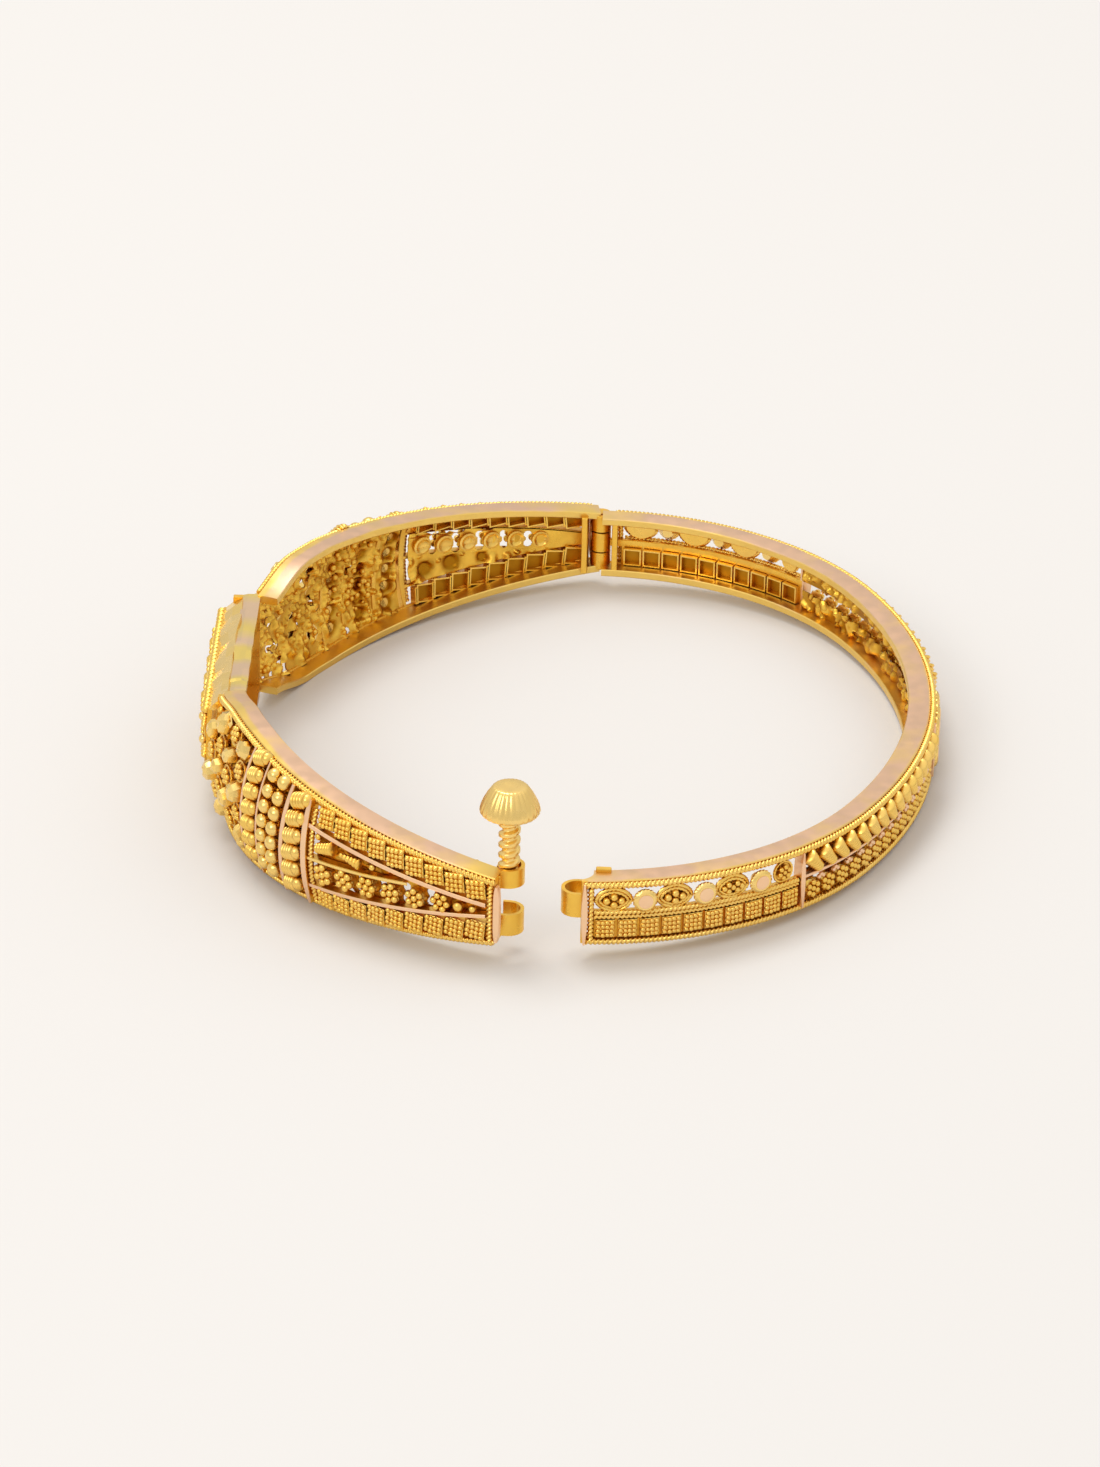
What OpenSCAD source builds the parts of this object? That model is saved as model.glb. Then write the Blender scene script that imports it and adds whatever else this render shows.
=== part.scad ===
// Screw bangle lying on its side, millimetres, +Z up, floor at z = 0.
// +Y is the hinge, -Y is the screw clasp, +X the plain half, -X the ornate half.
// The two halves are drawn in the plane of the bangle and then laid on the floor.

/* [Rest pose] */
// Lean of the bangle's plane where it lies, degrees
rest_tilt = 3.1; // [2.5:0.1:3.5]
// Height of the middle plane above the floor
rest_lift = 4.2147; // [4:0.0001:4.5]
// Shift that brings the middle of the outline over the origin along X
shift_x = 1.0375; // [0:0.0001:2]
// Shift that brings the middle of the outline over the origin along Y
shift_y = -0.202; // [-1:0.0001:1]
// How far the ornate half stands open in the picture, degrees
open_deg = 4.65; // [0:0.05:12]
// Turn that brings the ornate half's end plate square to the plain one, degrees
closed_turn = 0.8; // [0.6:0.1:1]

/* [Plain half plan] */
// Furthest point of the plain half from the hinge line
plain_depth = 27.0; // [26.8:0.1:27.2]
// Half of the inner length between hinge and clasp
half_length = 32.3; // [32.2:0.1:32.4]
// Radius of the tighter arcs at both ends of the plain half
end_arc = 25.1; // [25:0.1:25.2]

/* [Ornate half plan] */
// Where the centre of the ornate arc lies along X
ornate_centre = 7.89; // [7.85:0.01:7.95]
// Radius of the ornate arc
ornate_radius = 34.2; // [34.1:0.05:34.3]
// Where the arc ends at the clasp, degrees
ornate_near = -75.4; // [-75.6:0.1:-75.2]
// Where the arc ends at the hinge, degrees
ornate_far = 76.2; // [76:0.1:76.4]
// Where the arc ends at the plaque, degrees
plaque_angle = 14.6; // [14.4:0.1:14.8]
// Middle of the plaque in plan
plaque_middle = [-25.05, -0.2]; // [-26:0.01:0]
// Turn of the plaque in plan, degrees
plaque_turn = 5; // [4.5:0.1:5.5]

/* [Walls and rims] */
// Half of the height of the plain half
half_height = 2.625; // [2.55:0.025:2.7]
// Width of the flat rims
rim_width = 1.75; // [1.6:0.05:1.9]
// Thickness of the flat rims
rim_thick = 0.6; // [0.55:0.05:0.65]
// Thickness of the pierced sheet
wall_thick = 0.4; // [0.35:0.05:0.45]
// Growth of the half height for each millimetre away from the hinge line
splay = 0.13; // [0.12:0.005:0.14]
// Half of the height at the humps
wide_height = 5.45; // [5.35:0.05:5.55]
// Half of the height at the plaque
waist_height = 4.25; // [4.2:0.05:4.3]
// Where the humps reach their full height along Y
shoulder_y = 13.2; // [13:0.1:13.4]
// Where the waist reaches its own height along Y
waist_y = 9.0; // [8.9:0.1:9.1]
// How far the ornate sheet bulges out at mid height
bulge = 1.0; // [0.9:0.05:1.1]
// Radius of that bulge from rim to rim
bulge_radius = 12.5; // [12:0.1:13]
// Where the broad bar divides the squares from the domes, degrees
web_angle = 47.1; // [47:0.1:47.2]

/* [Ropes and bars] */
// Radius of the twisted wire
rope_radius = 0.22; // [0.2:0.01:0.24]
// Gap between a soldered ornament and the sheet behind it
clear = 0.02; // [0.01:0.01:0.03]
// Width of the upright bars
bar_width = 0.5; // [0.4:0.05:0.55]
// How far the bars stand out from the sheet
bar_raise = 0.55; // [0.45:0.05:0.6]

/* [Plain half ornaments] */
// Side of a granulated square on the plain half
square_side = 1.32; // [1.24:0.02:1.36]
// How far a square stands out
square_raise = 0.5; // [0.4:0.05:0.6]
// Distance from one square to the next
square_pitch = 1.655; // [1.64:0.005:1.66]
// Distance of the first square from the end of the run
square_first = 2.75; // [2.7:0.01:2.8]
// Distance from an eye to the disc beside it
motif_pitch = 2.28; // [2.26:0.01:2.29]
// Distance of the first eye from the end of the run
motif_first = 3.35; // [3.3:0.01:3.4]
// Where the broad bars of the plain half stand on its run
bar_at = 18.7; // [18.65:0.01:18.75]
// Distance from one leaning cone to the next
cone_pitch = 1.47; // [1.45:0.01:1.48]
// Distance from one lower rosette to the next
rosette_pitch = 1.63; // [1.62:0.005:1.64]
// Height of the upper row above mid height
top_row = 1.12; // [1.1:0.01:1.14]
// Height of the lower row above mid height
low_row = -1.2; // [-1.22:0.01:-1.18]
// Height of the rope between the two rows
divider = -0.12; // [-0.14:0.01:-0.1]
// Radius of the loose granules
granule = 0.26; // [0.22:0.01:0.27]

/* [Ornate half ornaments] */
// Side of a granulated square on the ornate half
fan_square = 1.26; // [1.2:0.02:1.28]
// Angle from one square of the fan to the next, degrees
fan_pitch = 2.79; // [2.75:0.01:2.8]
// Angle of the square nearest to the end plate, degrees
fan_first = 72.5; // [72.4:0.1:72.6]
// Distance of the squares' centres from the rim's top
fan_inset = 1.14; // [1.12:0.01:1.16]
// Angle from one rosette of the fan to the next, degrees
fan_rosette_pitch = 3.53; // [3.5:0.01:3.55]
// Angle of the rosette nearest to the broad bar, degrees
fan_rosette_first = 50.1; // [50:0.1:50.2]
// Radius of the largest rosette of the fan
fan_rosette = 0.88; // [0.8:0.01:0.89]
// Radius of the coiled domes
dome_radius = 0.62; // [0.55:0.01:0.62]
// Radius of the hollow balls
ball_radius = 0.5; // [0.44:0.01:0.5]
// Radius of the faceted bosses
boss_radius = 0.66; // [0.6:0.01:0.68]

/* [Clasp and screw] */
// Axis of the screw along X when the bangle is closed
clasp_x = 0.6; // [0.58:0.01:0.62]
// Axis of the screw along Y when the bangle is closed
clasp_y = -30.85; // [-30.9:0.01:-30.8]
// Radius of the hole in each loop
loop_hole = 0.905; // [0.9:0.005:0.92]
// Outer radius of each loop
loop_outer = 1.2; // [1.15:0.05:1.25]
// Thickness of the end plates
plate_thick = 0.5; // [0.45:0.05:0.5]
// Inner face of the plain half's end plate along X
plain_face = 0.95; // [0.94:0.01:0.96]
// Outer face of the ornate half's end plate along X
ornate_face = 0.15; // [0.14:0.01:0.16]
// Bottom and top of the upper loop, on the ornate half
upper_loop = [1.5, 2.95]; // [1.4:0.05:3]
// Bottom and top of the middle loop, on the plain half
middle_loop = [-0.6, 1.35]; // [-0.65:0.05:1.4]
// Bottom and top of the lower loop, on the ornate half
lower_loop = [-2.5, -0.75]; // [-2.55:0.05:-0.7]
// How far the screw stands above its closed place
screw_raise = 4.2; // [0:0.1:4.5]
// Rise of the screw for each turn
screw_pitch = 0.85; // [0.82:0.01:0.88]
// Radius over the thread
screw_radius = 0.83; // [0.81:0.01:0.84]
// Radius of the shank below the thread
screw_core = 0.56; // [0.54:0.01:0.58]
// Length of the shank
screw_length = 5.55; // [5.4:0.05:5.7]
// Radius of the fluted head
head_radius = 2.3; // [2.2:0.05:2.4]
// Radius of the head's flat top
head_top = 1.2; // [1.1:0.05:1.3]
// Height of the head
head_height = 2.35; // [2.3:0.05:2.4]
// Radius of the thin rod inside the screw
core_radius = 0.2; // [0.18:0.01:0.21]
// Radius of the bore for that rod
core_bore = 0.25; // [0.24:0.01:0.3]

/* [Hinge] */
// Distance of the hinge axis from the centre along Y
hinge_y = 32.2; // [32.1:0.05:32.3]
// Outer radius of the knuckles
barrel = 0.85; // [0.8:0.05:0.9]
// Radius of the hinge pin
pin_radius = 0.42; // [0.38:0.01:0.43]
// Radius of the knuckles' bore
pin_bore = 0.47; // [0.46:0.01:0.5]
// Height at which the middle knuckle ends
knuckle_split = 0.9; // [0.8:0.05:1]
// Height at which the outer knuckles end
knuckle_top = 2.45; // [2.4:0.05:2.5]

/* [Colours] */
// Yellow gold
gold = [0.93, 0.69, 0.27]; // [0:0.01:1]
// Pale rose gold
pale = [0.86, 0.68, 0.5]; // [0:0.01:1]

/* [Hidden] */
// The plain half is two end arcs and one flatter side arc that meet smoothly.
side_shift = (pow(half_length - end_arc, 2) - pow(plain_depth - end_arc, 2))
             / (2 * (plain_depth - end_arc));
side_arc = plain_depth + side_shift;
side_angle = atan2(half_length - end_arc, side_shift);
end_run = end_arc * (90 - side_angle) * PI / 180;
side_run = side_arc * 2 * side_angle * PI / 180;
plain_run = 2 * end_run + side_run;

// Soldered pieces reach this far into each other, and moving ones keep this much room.
bite = 0.1;
room = 0.1;

// Facets of bores and barrels, of middling rounds and of small rounds.
fine = 48;
round_fn = 32;
small_fn = 24;

// Each rope of the ornate half lies between these two depths below the rim.
rope_top = 0.02;
rope_low = 0.4;
wall_top = 0.44;
bar_top = 0.47;

// Upright wires beside the end plates.
post_width = 0.24;
post_raise = 0.2;
bar_end = 0.56;
end_plate_y = -half_length - 0.04;
end_plate_length = 1.95;
hinge_plate_y = half_length - 1.7;
hinge_plate_length = 1.4;
lug_height = 0.3;

// Columns of the ornate half: angle and width of each bar, angles of domes and balls.
bars = [[42.6, 0.5], [36.8, 0.25], [32.8, 0.3]];
dome_columns = [[44.8, 6, 1.43, 0.125], [34.8, 7, 1.35, 0]];
ball_columns = [40.7, 38.3];
ball_count = 7;
ball_pitch = 1.25;
ball_middle = 0.1;

// Fan wires: height at x = 0, rise toward the plaque, angle where each one ends.
fan_wires = [[0.4, 0.1315, 73.6], [1.86, -0.135, 62.7], [-0.04, -0.1636, 73.6]];
wire_half = 0.13;
fan_line = [0.72, 0.131];

// Field beside the plaque.
field_first = 30.3;
field_step = 4.1;
field_top = 3.5;
field_drop = 1.75;

module rest() {
    translate([shift_x, shift_y, rest_lift]) rotate([0, rest_tilt, 0]) children();
}

module about_hinge(turn) {
    translate([0, hinge_y, 0]) rotate([0, 0, turn]) translate([0, -hinge_y, 0]) children();
}

module opened() { rest() about_hinge(-open_deg) children(); }

// A place on the plain half: local X points outwards, local Y runs along the wall.
module at_plain(s) {
    if (s < end_run)
        translate([0, -(half_length - end_arc), 0])
            rotate([0, 0, -90 + s / end_arc * 180 / PI]) translate([end_arc, 0, 0]) children();
    else if (s < end_run + side_run)
        translate([-side_shift, 0, 0])
            rotate([0, 0, -side_angle + (s - end_run) / side_arc * 180 / PI])
                translate([side_arc, 0, 0]) children();
    else
        translate([0, half_length - end_arc, 0])
            rotate([0, 0, side_angle + (s - end_run - side_run) / end_arc * 180 / PI])
                translate([end_arc, 0, 0]) children();
}

// The same place counted from the clasp (side 0) or from the hinge (side 1).
module at_plain_side(side, s) {
    at_plain(side == 0 ? s : plain_run - s) children();
}

module at_ornate(a) {
    about_hinge(closed_turn) translate([ornate_centre, 0, 0])
        rotate([0, 0, 180 - a]) translate([ornate_radius, 0, 0]) children();
}

// A place on the bulged wall: z along the chord, leaning with the curve.
module at_bulge(a, z) {
    at_ornate(a) translate([sqrt(pow(bulge_radius, 2) - z * z) - bulge_radius + bulge, 0, z])
        rotate([0, -asin(z / bulge_radius), 0]) children();
}

function ornate_x(a) = ornate_centre - ornate_radius * cos(a);
function ornate_h(a) = min(half_height - splay * ornate_x(a), wide_height);

module sweep(radius, from, to) {
    rotate([0, 0, from]) rotate_extrude(angle = to - from, $fn = 96)
        translate([radius, 0]) children();
}

// The child outline carried along the plain half, from start to stop on its run.
module along_plain(start, stop) {
    first = -90 + start / end_arc * 180 / PI;
    last = 90 - (plain_run - stop) / end_arc * 180 / PI;
    translate([0, -(half_length - end_arc), 0]) sweep(end_arc, first, -side_angle) children();
    translate([-side_shift, 0, 0]) sweep(side_arc, -side_angle, side_angle) children();
    translate([0, half_length - end_arc, 0]) sweep(end_arc, side_angle, last) children();
}

module along_ornate(from, to) {
    about_hinge(closed_turn) translate([ornate_centre, 0, 0])
        sweep(ornate_radius, 180 - to, 180 - from) children();
}

// Plain half: a sheet pierced with small diamonds between two flat rims.
module diamond(depth, size) {
    rotate([45, 0, 0]) cube([depth, size, size], center = true);
}

module plain_gap(z, size) {
    translate([-wall_thick / 2, 0, z]) diamond(wall_thick * 2, size);
}

module plain_gaps() {
    beside = 0.62;
    for (i = [0:5]) for (side = [0, 1]) for (v = [-1, 1])
        at_plain_side(side, motif_first + motif_pitch * (i + 0.5))
            plain_gap(top_row + v * beside, 0.5);
    for (i = [0:12]) at_plain(bar_at + 3.2 + 4.4 * i) plain_gap(top_row, 0.35);
}

module plain_shell() {
    along_plain(plain_face, plain_run - 0.12) {
        translate([-rim_width, half_height - rim_thick]) square([rim_width, rim_thick]);
        translate([-rim_width, -half_height]) square([rim_width, rim_thick]);
        translate([-wall_thick, -half_height]) square([wall_thick, 2 * half_height]);
    }
}

// A clasp loop with a leg of that length along X.
module loop(z, leg) {
    translate([clasp_x, clasp_y, z[0]]) linear_extrude(z[1] - z[0]) difference() {
        union() {
            circle(loop_outer, $fn = fine);
            translate([min(0, leg), -loop_outer]) square([abs(leg), 2 * loop_outer]);
        }
        circle(loop_hole, $fn = fine);
    }
}

// Room for a loop of the other half when the bangle is closed.
module loop_room(z, inward) {
    tall = z[1] - z[0] + 2 * room;
    translate([clasp_x, clasp_y, z[0] - room]) {
        cylinder(r = loop_outer + room, h = tall, $fn = fine);
        translate([min(0, inward), 0, 0]) cube([abs(inward), 4, tall]);
    }
}

// Way for the screw past the end plates.
module screw_room() {
    translate([clasp_x, clasp_y, -4]) cylinder(r = loop_hole, h = 10, $fn = fine);
}

module barrel_room(z0, z1) {
    translate([0, hinge_y, z0]) cylinder(r = barrel + room, h = z1 - z0, $fn = fine);
}

module knuckle(z0, z1, side) {
    leaf = [1.6, 1.5];
    translate([0, hinge_y, z0]) linear_extrude(z1 - z0) union() {
        circle(barrel, $fn = fine);
        translate([side > 0 ? 0 : -leaf[0], -leaf[1]]) square(leaf);
    }
}

module hinge_bore() {
    translate([0, hinge_y, -4]) cylinder(r = pin_bore, h = 8, $fn = fine);
}

module plain_bars() {
    middle_bar = 43.2;
    for (side = [0, 1]) for (s = [bar_at, middle_bar])
        at_plain_side(side, s) translate([-bite, -bar_width / 2, -half_height + bar_end])
            cube([bite + bar_raise, bar_width, 2 * (half_height - bar_end)]);
    for (s = [1.55, plain_run - 1.35])
        at_plain(s) translate([-bite, -post_width / 2, -half_height + bar_end])
            cube([bite + post_raise, post_width, 2 * (half_height - bar_end)]);
}

// Inner bracket behind each place where two arcs of the band meet.
module seam_bracket(s) {
    at_plain(s) for (v = [0, 1]) mirror([0, 0, v]) {
        translate([-rim_width + 0.15, -0.3, half_height - rim_thick - 0.2])
            cube([rim_width - 0.35, 0.6, 0.5]);
        translate([-0.7, -0.3, -0.1]) cube([0.5, 0.6, half_height - rim_thick]);
    }
}

module plain_plates() {
    translate([plain_face, end_plate_y, -half_height])
        cube([plate_thick, end_plate_length, 2 * half_height]);
    translate([0.95, hinge_plate_y, -half_height + bite])
        cube([0.5, hinge_plate_length, 2 * (half_height - bite)]);
    translate([1.95, -half_length + 1.4, half_height - bite]) cube([1.15, 0.45, lug_height]);
}

module plain_frame() {
    color(gold) rest() difference() {
        union() {
            difference() {
                union() {
                    difference() {
                        plain_shell();
                        plain_gaps();
                    }
                    for (s = [end_run, end_run + side_run]) seam_bracket(s);
                    plain_bars();
                    plain_plates();
                }
                loop_room(upper_loop, 1.4);
                loop_room(lower_loop, 1.4);
                screw_room();
                barrel_room(-knuckle_split, knuckle_split);
            }
            loop(middle_loop, 0.7);
            knuckle(knuckle_split + 0.05, knuckle_top, 1);
            knuckle(-knuckle_top, -knuckle_split - 0.05, 1);
        }
        hinge_bore();
    }
}

module plain_rope(z) {
    along_plain(1.52, plain_run - 1.25)
        translate([rope_radius + clear, z]) circle(rope_radius, $fn = small_fn);
}

module plain_ropes() {
    below_rim = 0.3;
    thin = rope_radius - 0.03;
    piece = 1.72;
    first = 2.7;
    step = 1.84;
    color(gold) rest() {
        plain_rope(half_height - below_rim);
        plain_rope(-half_height + below_rim);
        for (side = [0, 1]) for (i = [0:8])
            at_plain_side(side, first + step * i) translate([rope_radius + clear, 0, divider])
                rotate([90, 0, 0]) cylinder(r = thin, h = piece, center = true, $fn = small_fn);
    }
}

// A square of four raised quarters on a flat bed.
module raised_square(side) {
    top = 0.18;
    quarter = 0.52;
    split = 0.31;
    translate([clear, -side / 2, -side / 2]) cube([square_raise - top, side, side]);
    for (u = [-1, 1]) for (v = [-1, 1])
        translate([clear + square_raise - top, u * split - quarter / 2, v * split - quarter / 2])
            cube([top, quarter, quarter]);
}

module plain_squares() {
    color(gold) rest() for (side = [0, 1]) for (i = [0:9])
        at_plain_side(side, square_first + square_pitch * i)
            translate([0, 0, low_row]) raised_square(square_side);
}

module granule_stud(u, g) {
    translate([u, 0, 0]) cylinder(r1 = g, r2 = g / 2, h = 0.26, $fn = small_fn);
}

// Seven granules on a round bed.
module rosette(r) {
    bed = 0.3;
    g = (r - 0.05) / 3;
    translate([clear, 0, 0]) rotate([0, 90, 0]) {
        cylinder(r = r, h = bed, $fn = round_fn);
        for (i = [0:6]) rotate([0, 0, 60 * i])
            translate([0, 0, bed]) granule_stud(i == 6 ? 0 : r - g - 0.02, g);
    }
}

// Four granules in a round cup.
module eye() {
    bed = 0.2;
    translate([clear, 0, 0]) rotate([0, 90, 0]) {
        difference() {
            cylinder(r = 0.94, h = 0.42, $fn = round_fn);
            translate([0, 0, bed]) cylinder(r = 0.74, h = 1, $fn = round_fn);
        }
        for (i = [0:3]) rotate([0, 0, 90 * i])
            translate([0, 0, bed]) granule_stud(0.4, granule);
    }
}

module plain_rosettes() {
    color(gold) rest() for (side = [0, 1]) {
        for (i = [0, 2, 4, 6])
            at_plain_side(side, motif_first + motif_pitch * i) translate([0, 0, top_row]) eye();
        for (i = [0:13])
            at_plain_side(side, bar_at + 1.25 + rosette_pitch * i)
                translate([0, 0, low_row + 0.04]) rosette(0.74);
    }
}

module flat_disc() {
    neck = 0.4;
    translate([clear, 0, 0]) rotate([0, 90, 0]) {
        cylinder(r = 0.45, h = neck, $fn = round_fn);
        translate([0, 0, neck]) cylinder(r1 = 0.8, r2 = 0.55, h = 0.45, $fn = round_fn);
    }
}

module plain_discs() {
    color(pale) rest() {
        for (side = [0, 1]) for (i = [1, 3, 5])
            at_plain_side(side, motif_first + motif_pitch * i)
                translate([0, 0, top_row]) flat_disc();
        for (z = [-1.2, 1.1]) for (s = [-2.2, 0, 2.2])
            at_plain(plain_run / 2 + s) translate([0, 0, z]) flat_disc();
    }
}

module plain_cone() {
    lean = 28;
    body = 1.5;
    translate([0.5, 0, 0]) rotate([lean, 0, 0]) translate([0, 0, -0.95]) {
        cylinder(r1 = 0.24, r2 = 0.47, h = body, $fn = small_fn);
        translate([0, 0, body]) cylinder(r1 = 0.47, r2 = 0.2, h = 0.3, $fn = small_fn);
    }
}

module plain_cones() {
    color(gold) rest() for (side = [0, 1]) for (i = [0:15])
        at_plain_side(side, bar_at + 1.15 + cone_pitch * i)
            translate([0, 0, top_row]) plain_cone();
}

module plain_granules() {
    color(pale) rest() for (side = [0, 1]) for (i = [0:13])
        at_plain_side(side, bar_at + 1.25 + rosette_pitch * (i + 0.5))
            translate([clear, 0, divider - 0.18])
                rotate([0, 90, 0]) cylinder(r = 0.24, h = 0.5, $fn = small_fn);
}

// Ornate half: everything between the splayed rims, lowered by cut.
module under_splay(cut) {
    reach = -(wide_height - half_height) / splay;
    top = half_height - cut;
    wide = wide_height - cut;
    rotate([90, 0, 0]) linear_extrude(90, center = true) polygon([
        [3, top], [0, top], [reach, wide], [-34, wide],
        [-34, -wide], [reach, -wide], [0, -top], [3, -top]]);
}

// Everything below the dip from the humps to the waist, lowered by cut.
module under_waist(cut) {
    wide = wide_height - cut;
    waist = waist_height - cut;
    far = 9 - cut;
    half = [[40, far], [shoulder_y + 1, far], [shoulder_y, wide], [waist_y, waist]];
    top = concat(half, [for (i = [3:-1:0]) [-half[i][0], half[i][1]]]);
    rotate([90, 0, 90]) linear_extrude(60, center = true)
        polygon(concat(top, [for (i = [7:-1:0]) [top[i][0], -top[i][1]]]));
}

module envelope(cut) {
    about_hinge(closed_turn) intersection() {
        under_splay(cut);
        under_waist(cut);
    }
}

module ornate_band(w0, w1) {
    along_ornate(ornate_near, -plaque_angle) translate([w0, -8]) square([w1 - w0, 16]);
    along_ornate(plaque_angle, ornate_far) translate([w0, -8]) square([w1 - w0, 16]);
}

module ornate_rims() {
    intersection() {
        ornate_band(-rim_width, 0);
        difference() {
            envelope(0);
            envelope(rim_thick);
        }
    }
}

// Outline of the bulged wall: short straight chords whose corners lie on the curve.
function bulge_point(z, grow) =
    [bulge - bulge_radius + sqrt(pow(bulge_radius, 2) - z * z) + grow, z];

module bulge_outline(inner, outer, top) {
    polygon(concat([for (i = [-4:4]) bulge_point(top * i / 4, outer)],
                   [for (i = [-4:4]) bulge_point(-top * i / 4, inner)]));
}

module flat_wall(from, to) {
    intersection() {
        along_ornate(from, to) translate([-wall_thick - 0.03, -6]) square([wall_thick, 12]);
        envelope(0.2);
    }
}

module bulged_wall(from, to) {
    intersection() {
        along_ornate(from, to) bulge_outline(-wall_thick, 0, 5.2);
        envelope(wall_top);
    }
}

module ornate_wall() {
    flat_wall(ornate_near + 0.4, -web_angle - 0.2);
    flat_wall(web_angle + 0.2, ornate_far - 0.4);
    bulged_wall(-web_angle + 0.2, -plaque_angle);
    bulged_wall(plaque_angle, web_angle - 0.2);
}

module plaque_place() {
    about_hinge(closed_turn) translate(plaque_middle) rotate([0, 0, plaque_turn]) children();
}

// Straight plaque: two rim strips, hammered bevels that meet outside, and a bar at each end.
module plaque() {
    strip = [1.8, 18.35, rim_thick - 0.09];
    bevel = [[-0.7, waist_height - 0.15], [-1.55, 3.1], [-1.75, 0], [-1.35, 0],
             [-1.15, 2.9], [-0.5, waist_height - 0.42]];
    plaque_place() {
        for (v = [0, 1]) mirror([0, 0, v]) {
            translate([-strip[0] / 2, -9.1, waist_height - rim_thick + 0.05]) cube(strip);
            rotate([90, 0, 0]) linear_extrude(17.9, center = true) polygon(bevel);
        }
        for (v = [-1, 1]) translate([-1.3, v * 8.85 - 0.25, -waist_height + 0.1])
            cube([2.1, 0.5, 2 * waist_height - 0.2]);
    }
}

function fan_gap(i) = fan_rosette_first + fan_rosette_pitch * (i + 0.5);
function fan_z(a) = fan_line[0] + fan_line[1] * ornate_x(a);

module ornate_gap(a, z, size) {
    at_ornate(a) translate([0, 0, z]) diamond(3, size);
}

module ornate_gaps() {
    above = 0.55;
    for (side = [-1, 1]) {
        for (i = [0:4]) ornate_gap(side * fan_gap(i), fan_z(fan_gap(i)) + above, 0.4);
        for (i = [0:3]) ornate_gap(side * fan_gap(i), fan_z(fan_gap(i)) - above, 0.4);
        for (c = dome_columns) for (i = [0:c[1] - 2])
            ornate_gap(side * c[0], c[3] + c[2] * (i + 1 - c[1] / 2), 0.42);
        for (i = [0:2]) ornate_gap(side * (18.6 + 4.3 * i), 0.9, 0.6);
        for (i = [0:1]) ornate_gap(side * (20.7 + 4.3 * i), -2.6, 0.6);
    }
}

// The broad bar, deep enough to join the flat wall to the bulged one.
module ornate_web(a) {
    top = ornate_h(a) - bar_top;
    inner = -wall_thick - 0.12;
    at_ornate(a) rotate([90, 0, 0]) linear_extrude(bar_width, center = true)
        polygon(concat([for (i = [-4:4]) bulge_point(top * i / 4, bar_raise)],
                       [[inner, top], [inner, -top]]));
}

module ornate_bar(a, width) {
    at_ornate(a) rotate([90, 0, 0]) linear_extrude(width, center = true)
        bulge_outline(-wall_thick / 2, bar_raise, ornate_h(a) - bar_top);
}

module ornate_bars() {
    for (side = [-1, 1]) {
        ornate_web(side * web_angle);
        for (b = bars) ornate_bar(side * b[0], b[1]);
    }
    for (a = [ornate_near + 1.2, ornate_far - 2.2])
        at_ornate(a) translate([-bite, -post_width / 2, -half_height + 0.4])
            cube([bite + post_raise, post_width, 2 * half_height - 0.8]);
}

// The thin flat wires that fan out between the rows of the clasp side.
module fan_wire(z0, rise, to, side) {
    from = web_angle + 0.2;
    far = 30;
    intersection() {
        about_hinge(closed_turn) rotate([90, 0, 0]) linear_extrude(90, center = true)
            polygon([[0, z0 + wire_half], [-far, z0 + wire_half + far * rise],
                     [-far, z0 - wire_half + far * rise], [0, z0 - wire_half]]);
        along_ornate(side < 0 ? -to : from, side < 0 ? -from : to)
            translate([-bite, -6]) square([bite + bar_raise, 12]);
    }
}

module ornate_plates() {
    translate([ornate_face - plate_thick, end_plate_y, 0.06 - half_height])
        cube([plate_thick, end_plate_length, 2 * (half_height - 0.06)]);
    translate([-1.45, hinge_plate_y, -half_height + bite])
        cube([0.5, hinge_plate_length, 2 * (half_height - bite)]);
    translate([-2.7, -half_length + 1.3, half_height - bite]) cube([1.0, 0.5, lug_height]);
}

module ornate_frame() {
    color(gold) opened() difference() {
        union() {
            difference() {
                union() {
                    difference() {
                        union() {
                            ornate_rims();
                            ornate_wall();
                        }
                        ornate_gaps();
                    }
                    plaque();
                    ornate_bars();
                    for (side = [-1, 1]) for (w = fan_wires) fan_wire(w[0], w[1], w[2], side);
                    ornate_plates();
                }
                loop_room(middle_loop, -1.0);
                screw_room();
                barrel_room(knuckle_split, 4);
                barrel_room(-4, -knuckle_split);
            }
            loop(upper_loop, -1.2);
            loop(lower_loop, -0.7);
            knuckle(-knuckle_split + 0.05, knuckle_split - 0.05, -1);
        }
        hinge_bore();
    }
}

// The rope under the top rim and the rope above the bottom rim.
module ornate_ropes() {
    past_plaque = plaque_angle + 1.4;
    color(gold) opened() for (side = [-1, 1]) intersection() {
        along_ornate(side < 0 ? -74.0 : past_plaque, side < 0 ? -past_plaque : 73.5)
            translate([clear, -8]) square([2 * rope_radius, 16]);
        difference() {
            envelope(rope_top);
            envelope(rope_low);
        }
    }
}

// Two rows of squares that follow the rims apart.
module ornate_squares() {
    spin = 7;
    color(gold) opened() for (side = [-1, 1]) for (v = [-1, 1]) for (i = [0:8]) {
        a = fan_first - fan_pitch * i;
        at_ornate(side * a) translate([0, 0, v * (ornate_h(a) - fan_inset)])
            rotate([-side * v * spin, 0, 0]) raised_square(fan_square);
    }
}

// A coiled cone lying along the wall, its narrow end toward the clasp.
module fan_cone(side, a, z, wide, narrow, length) {
    at_ornate(side * a) translate([wide + 0.08, 0, z]) rotate([-90 * side, 0, 0])
        cylinder(r1 = narrow, r2 = wide, h = length, center = true, $fn = small_fn);
}

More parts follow.
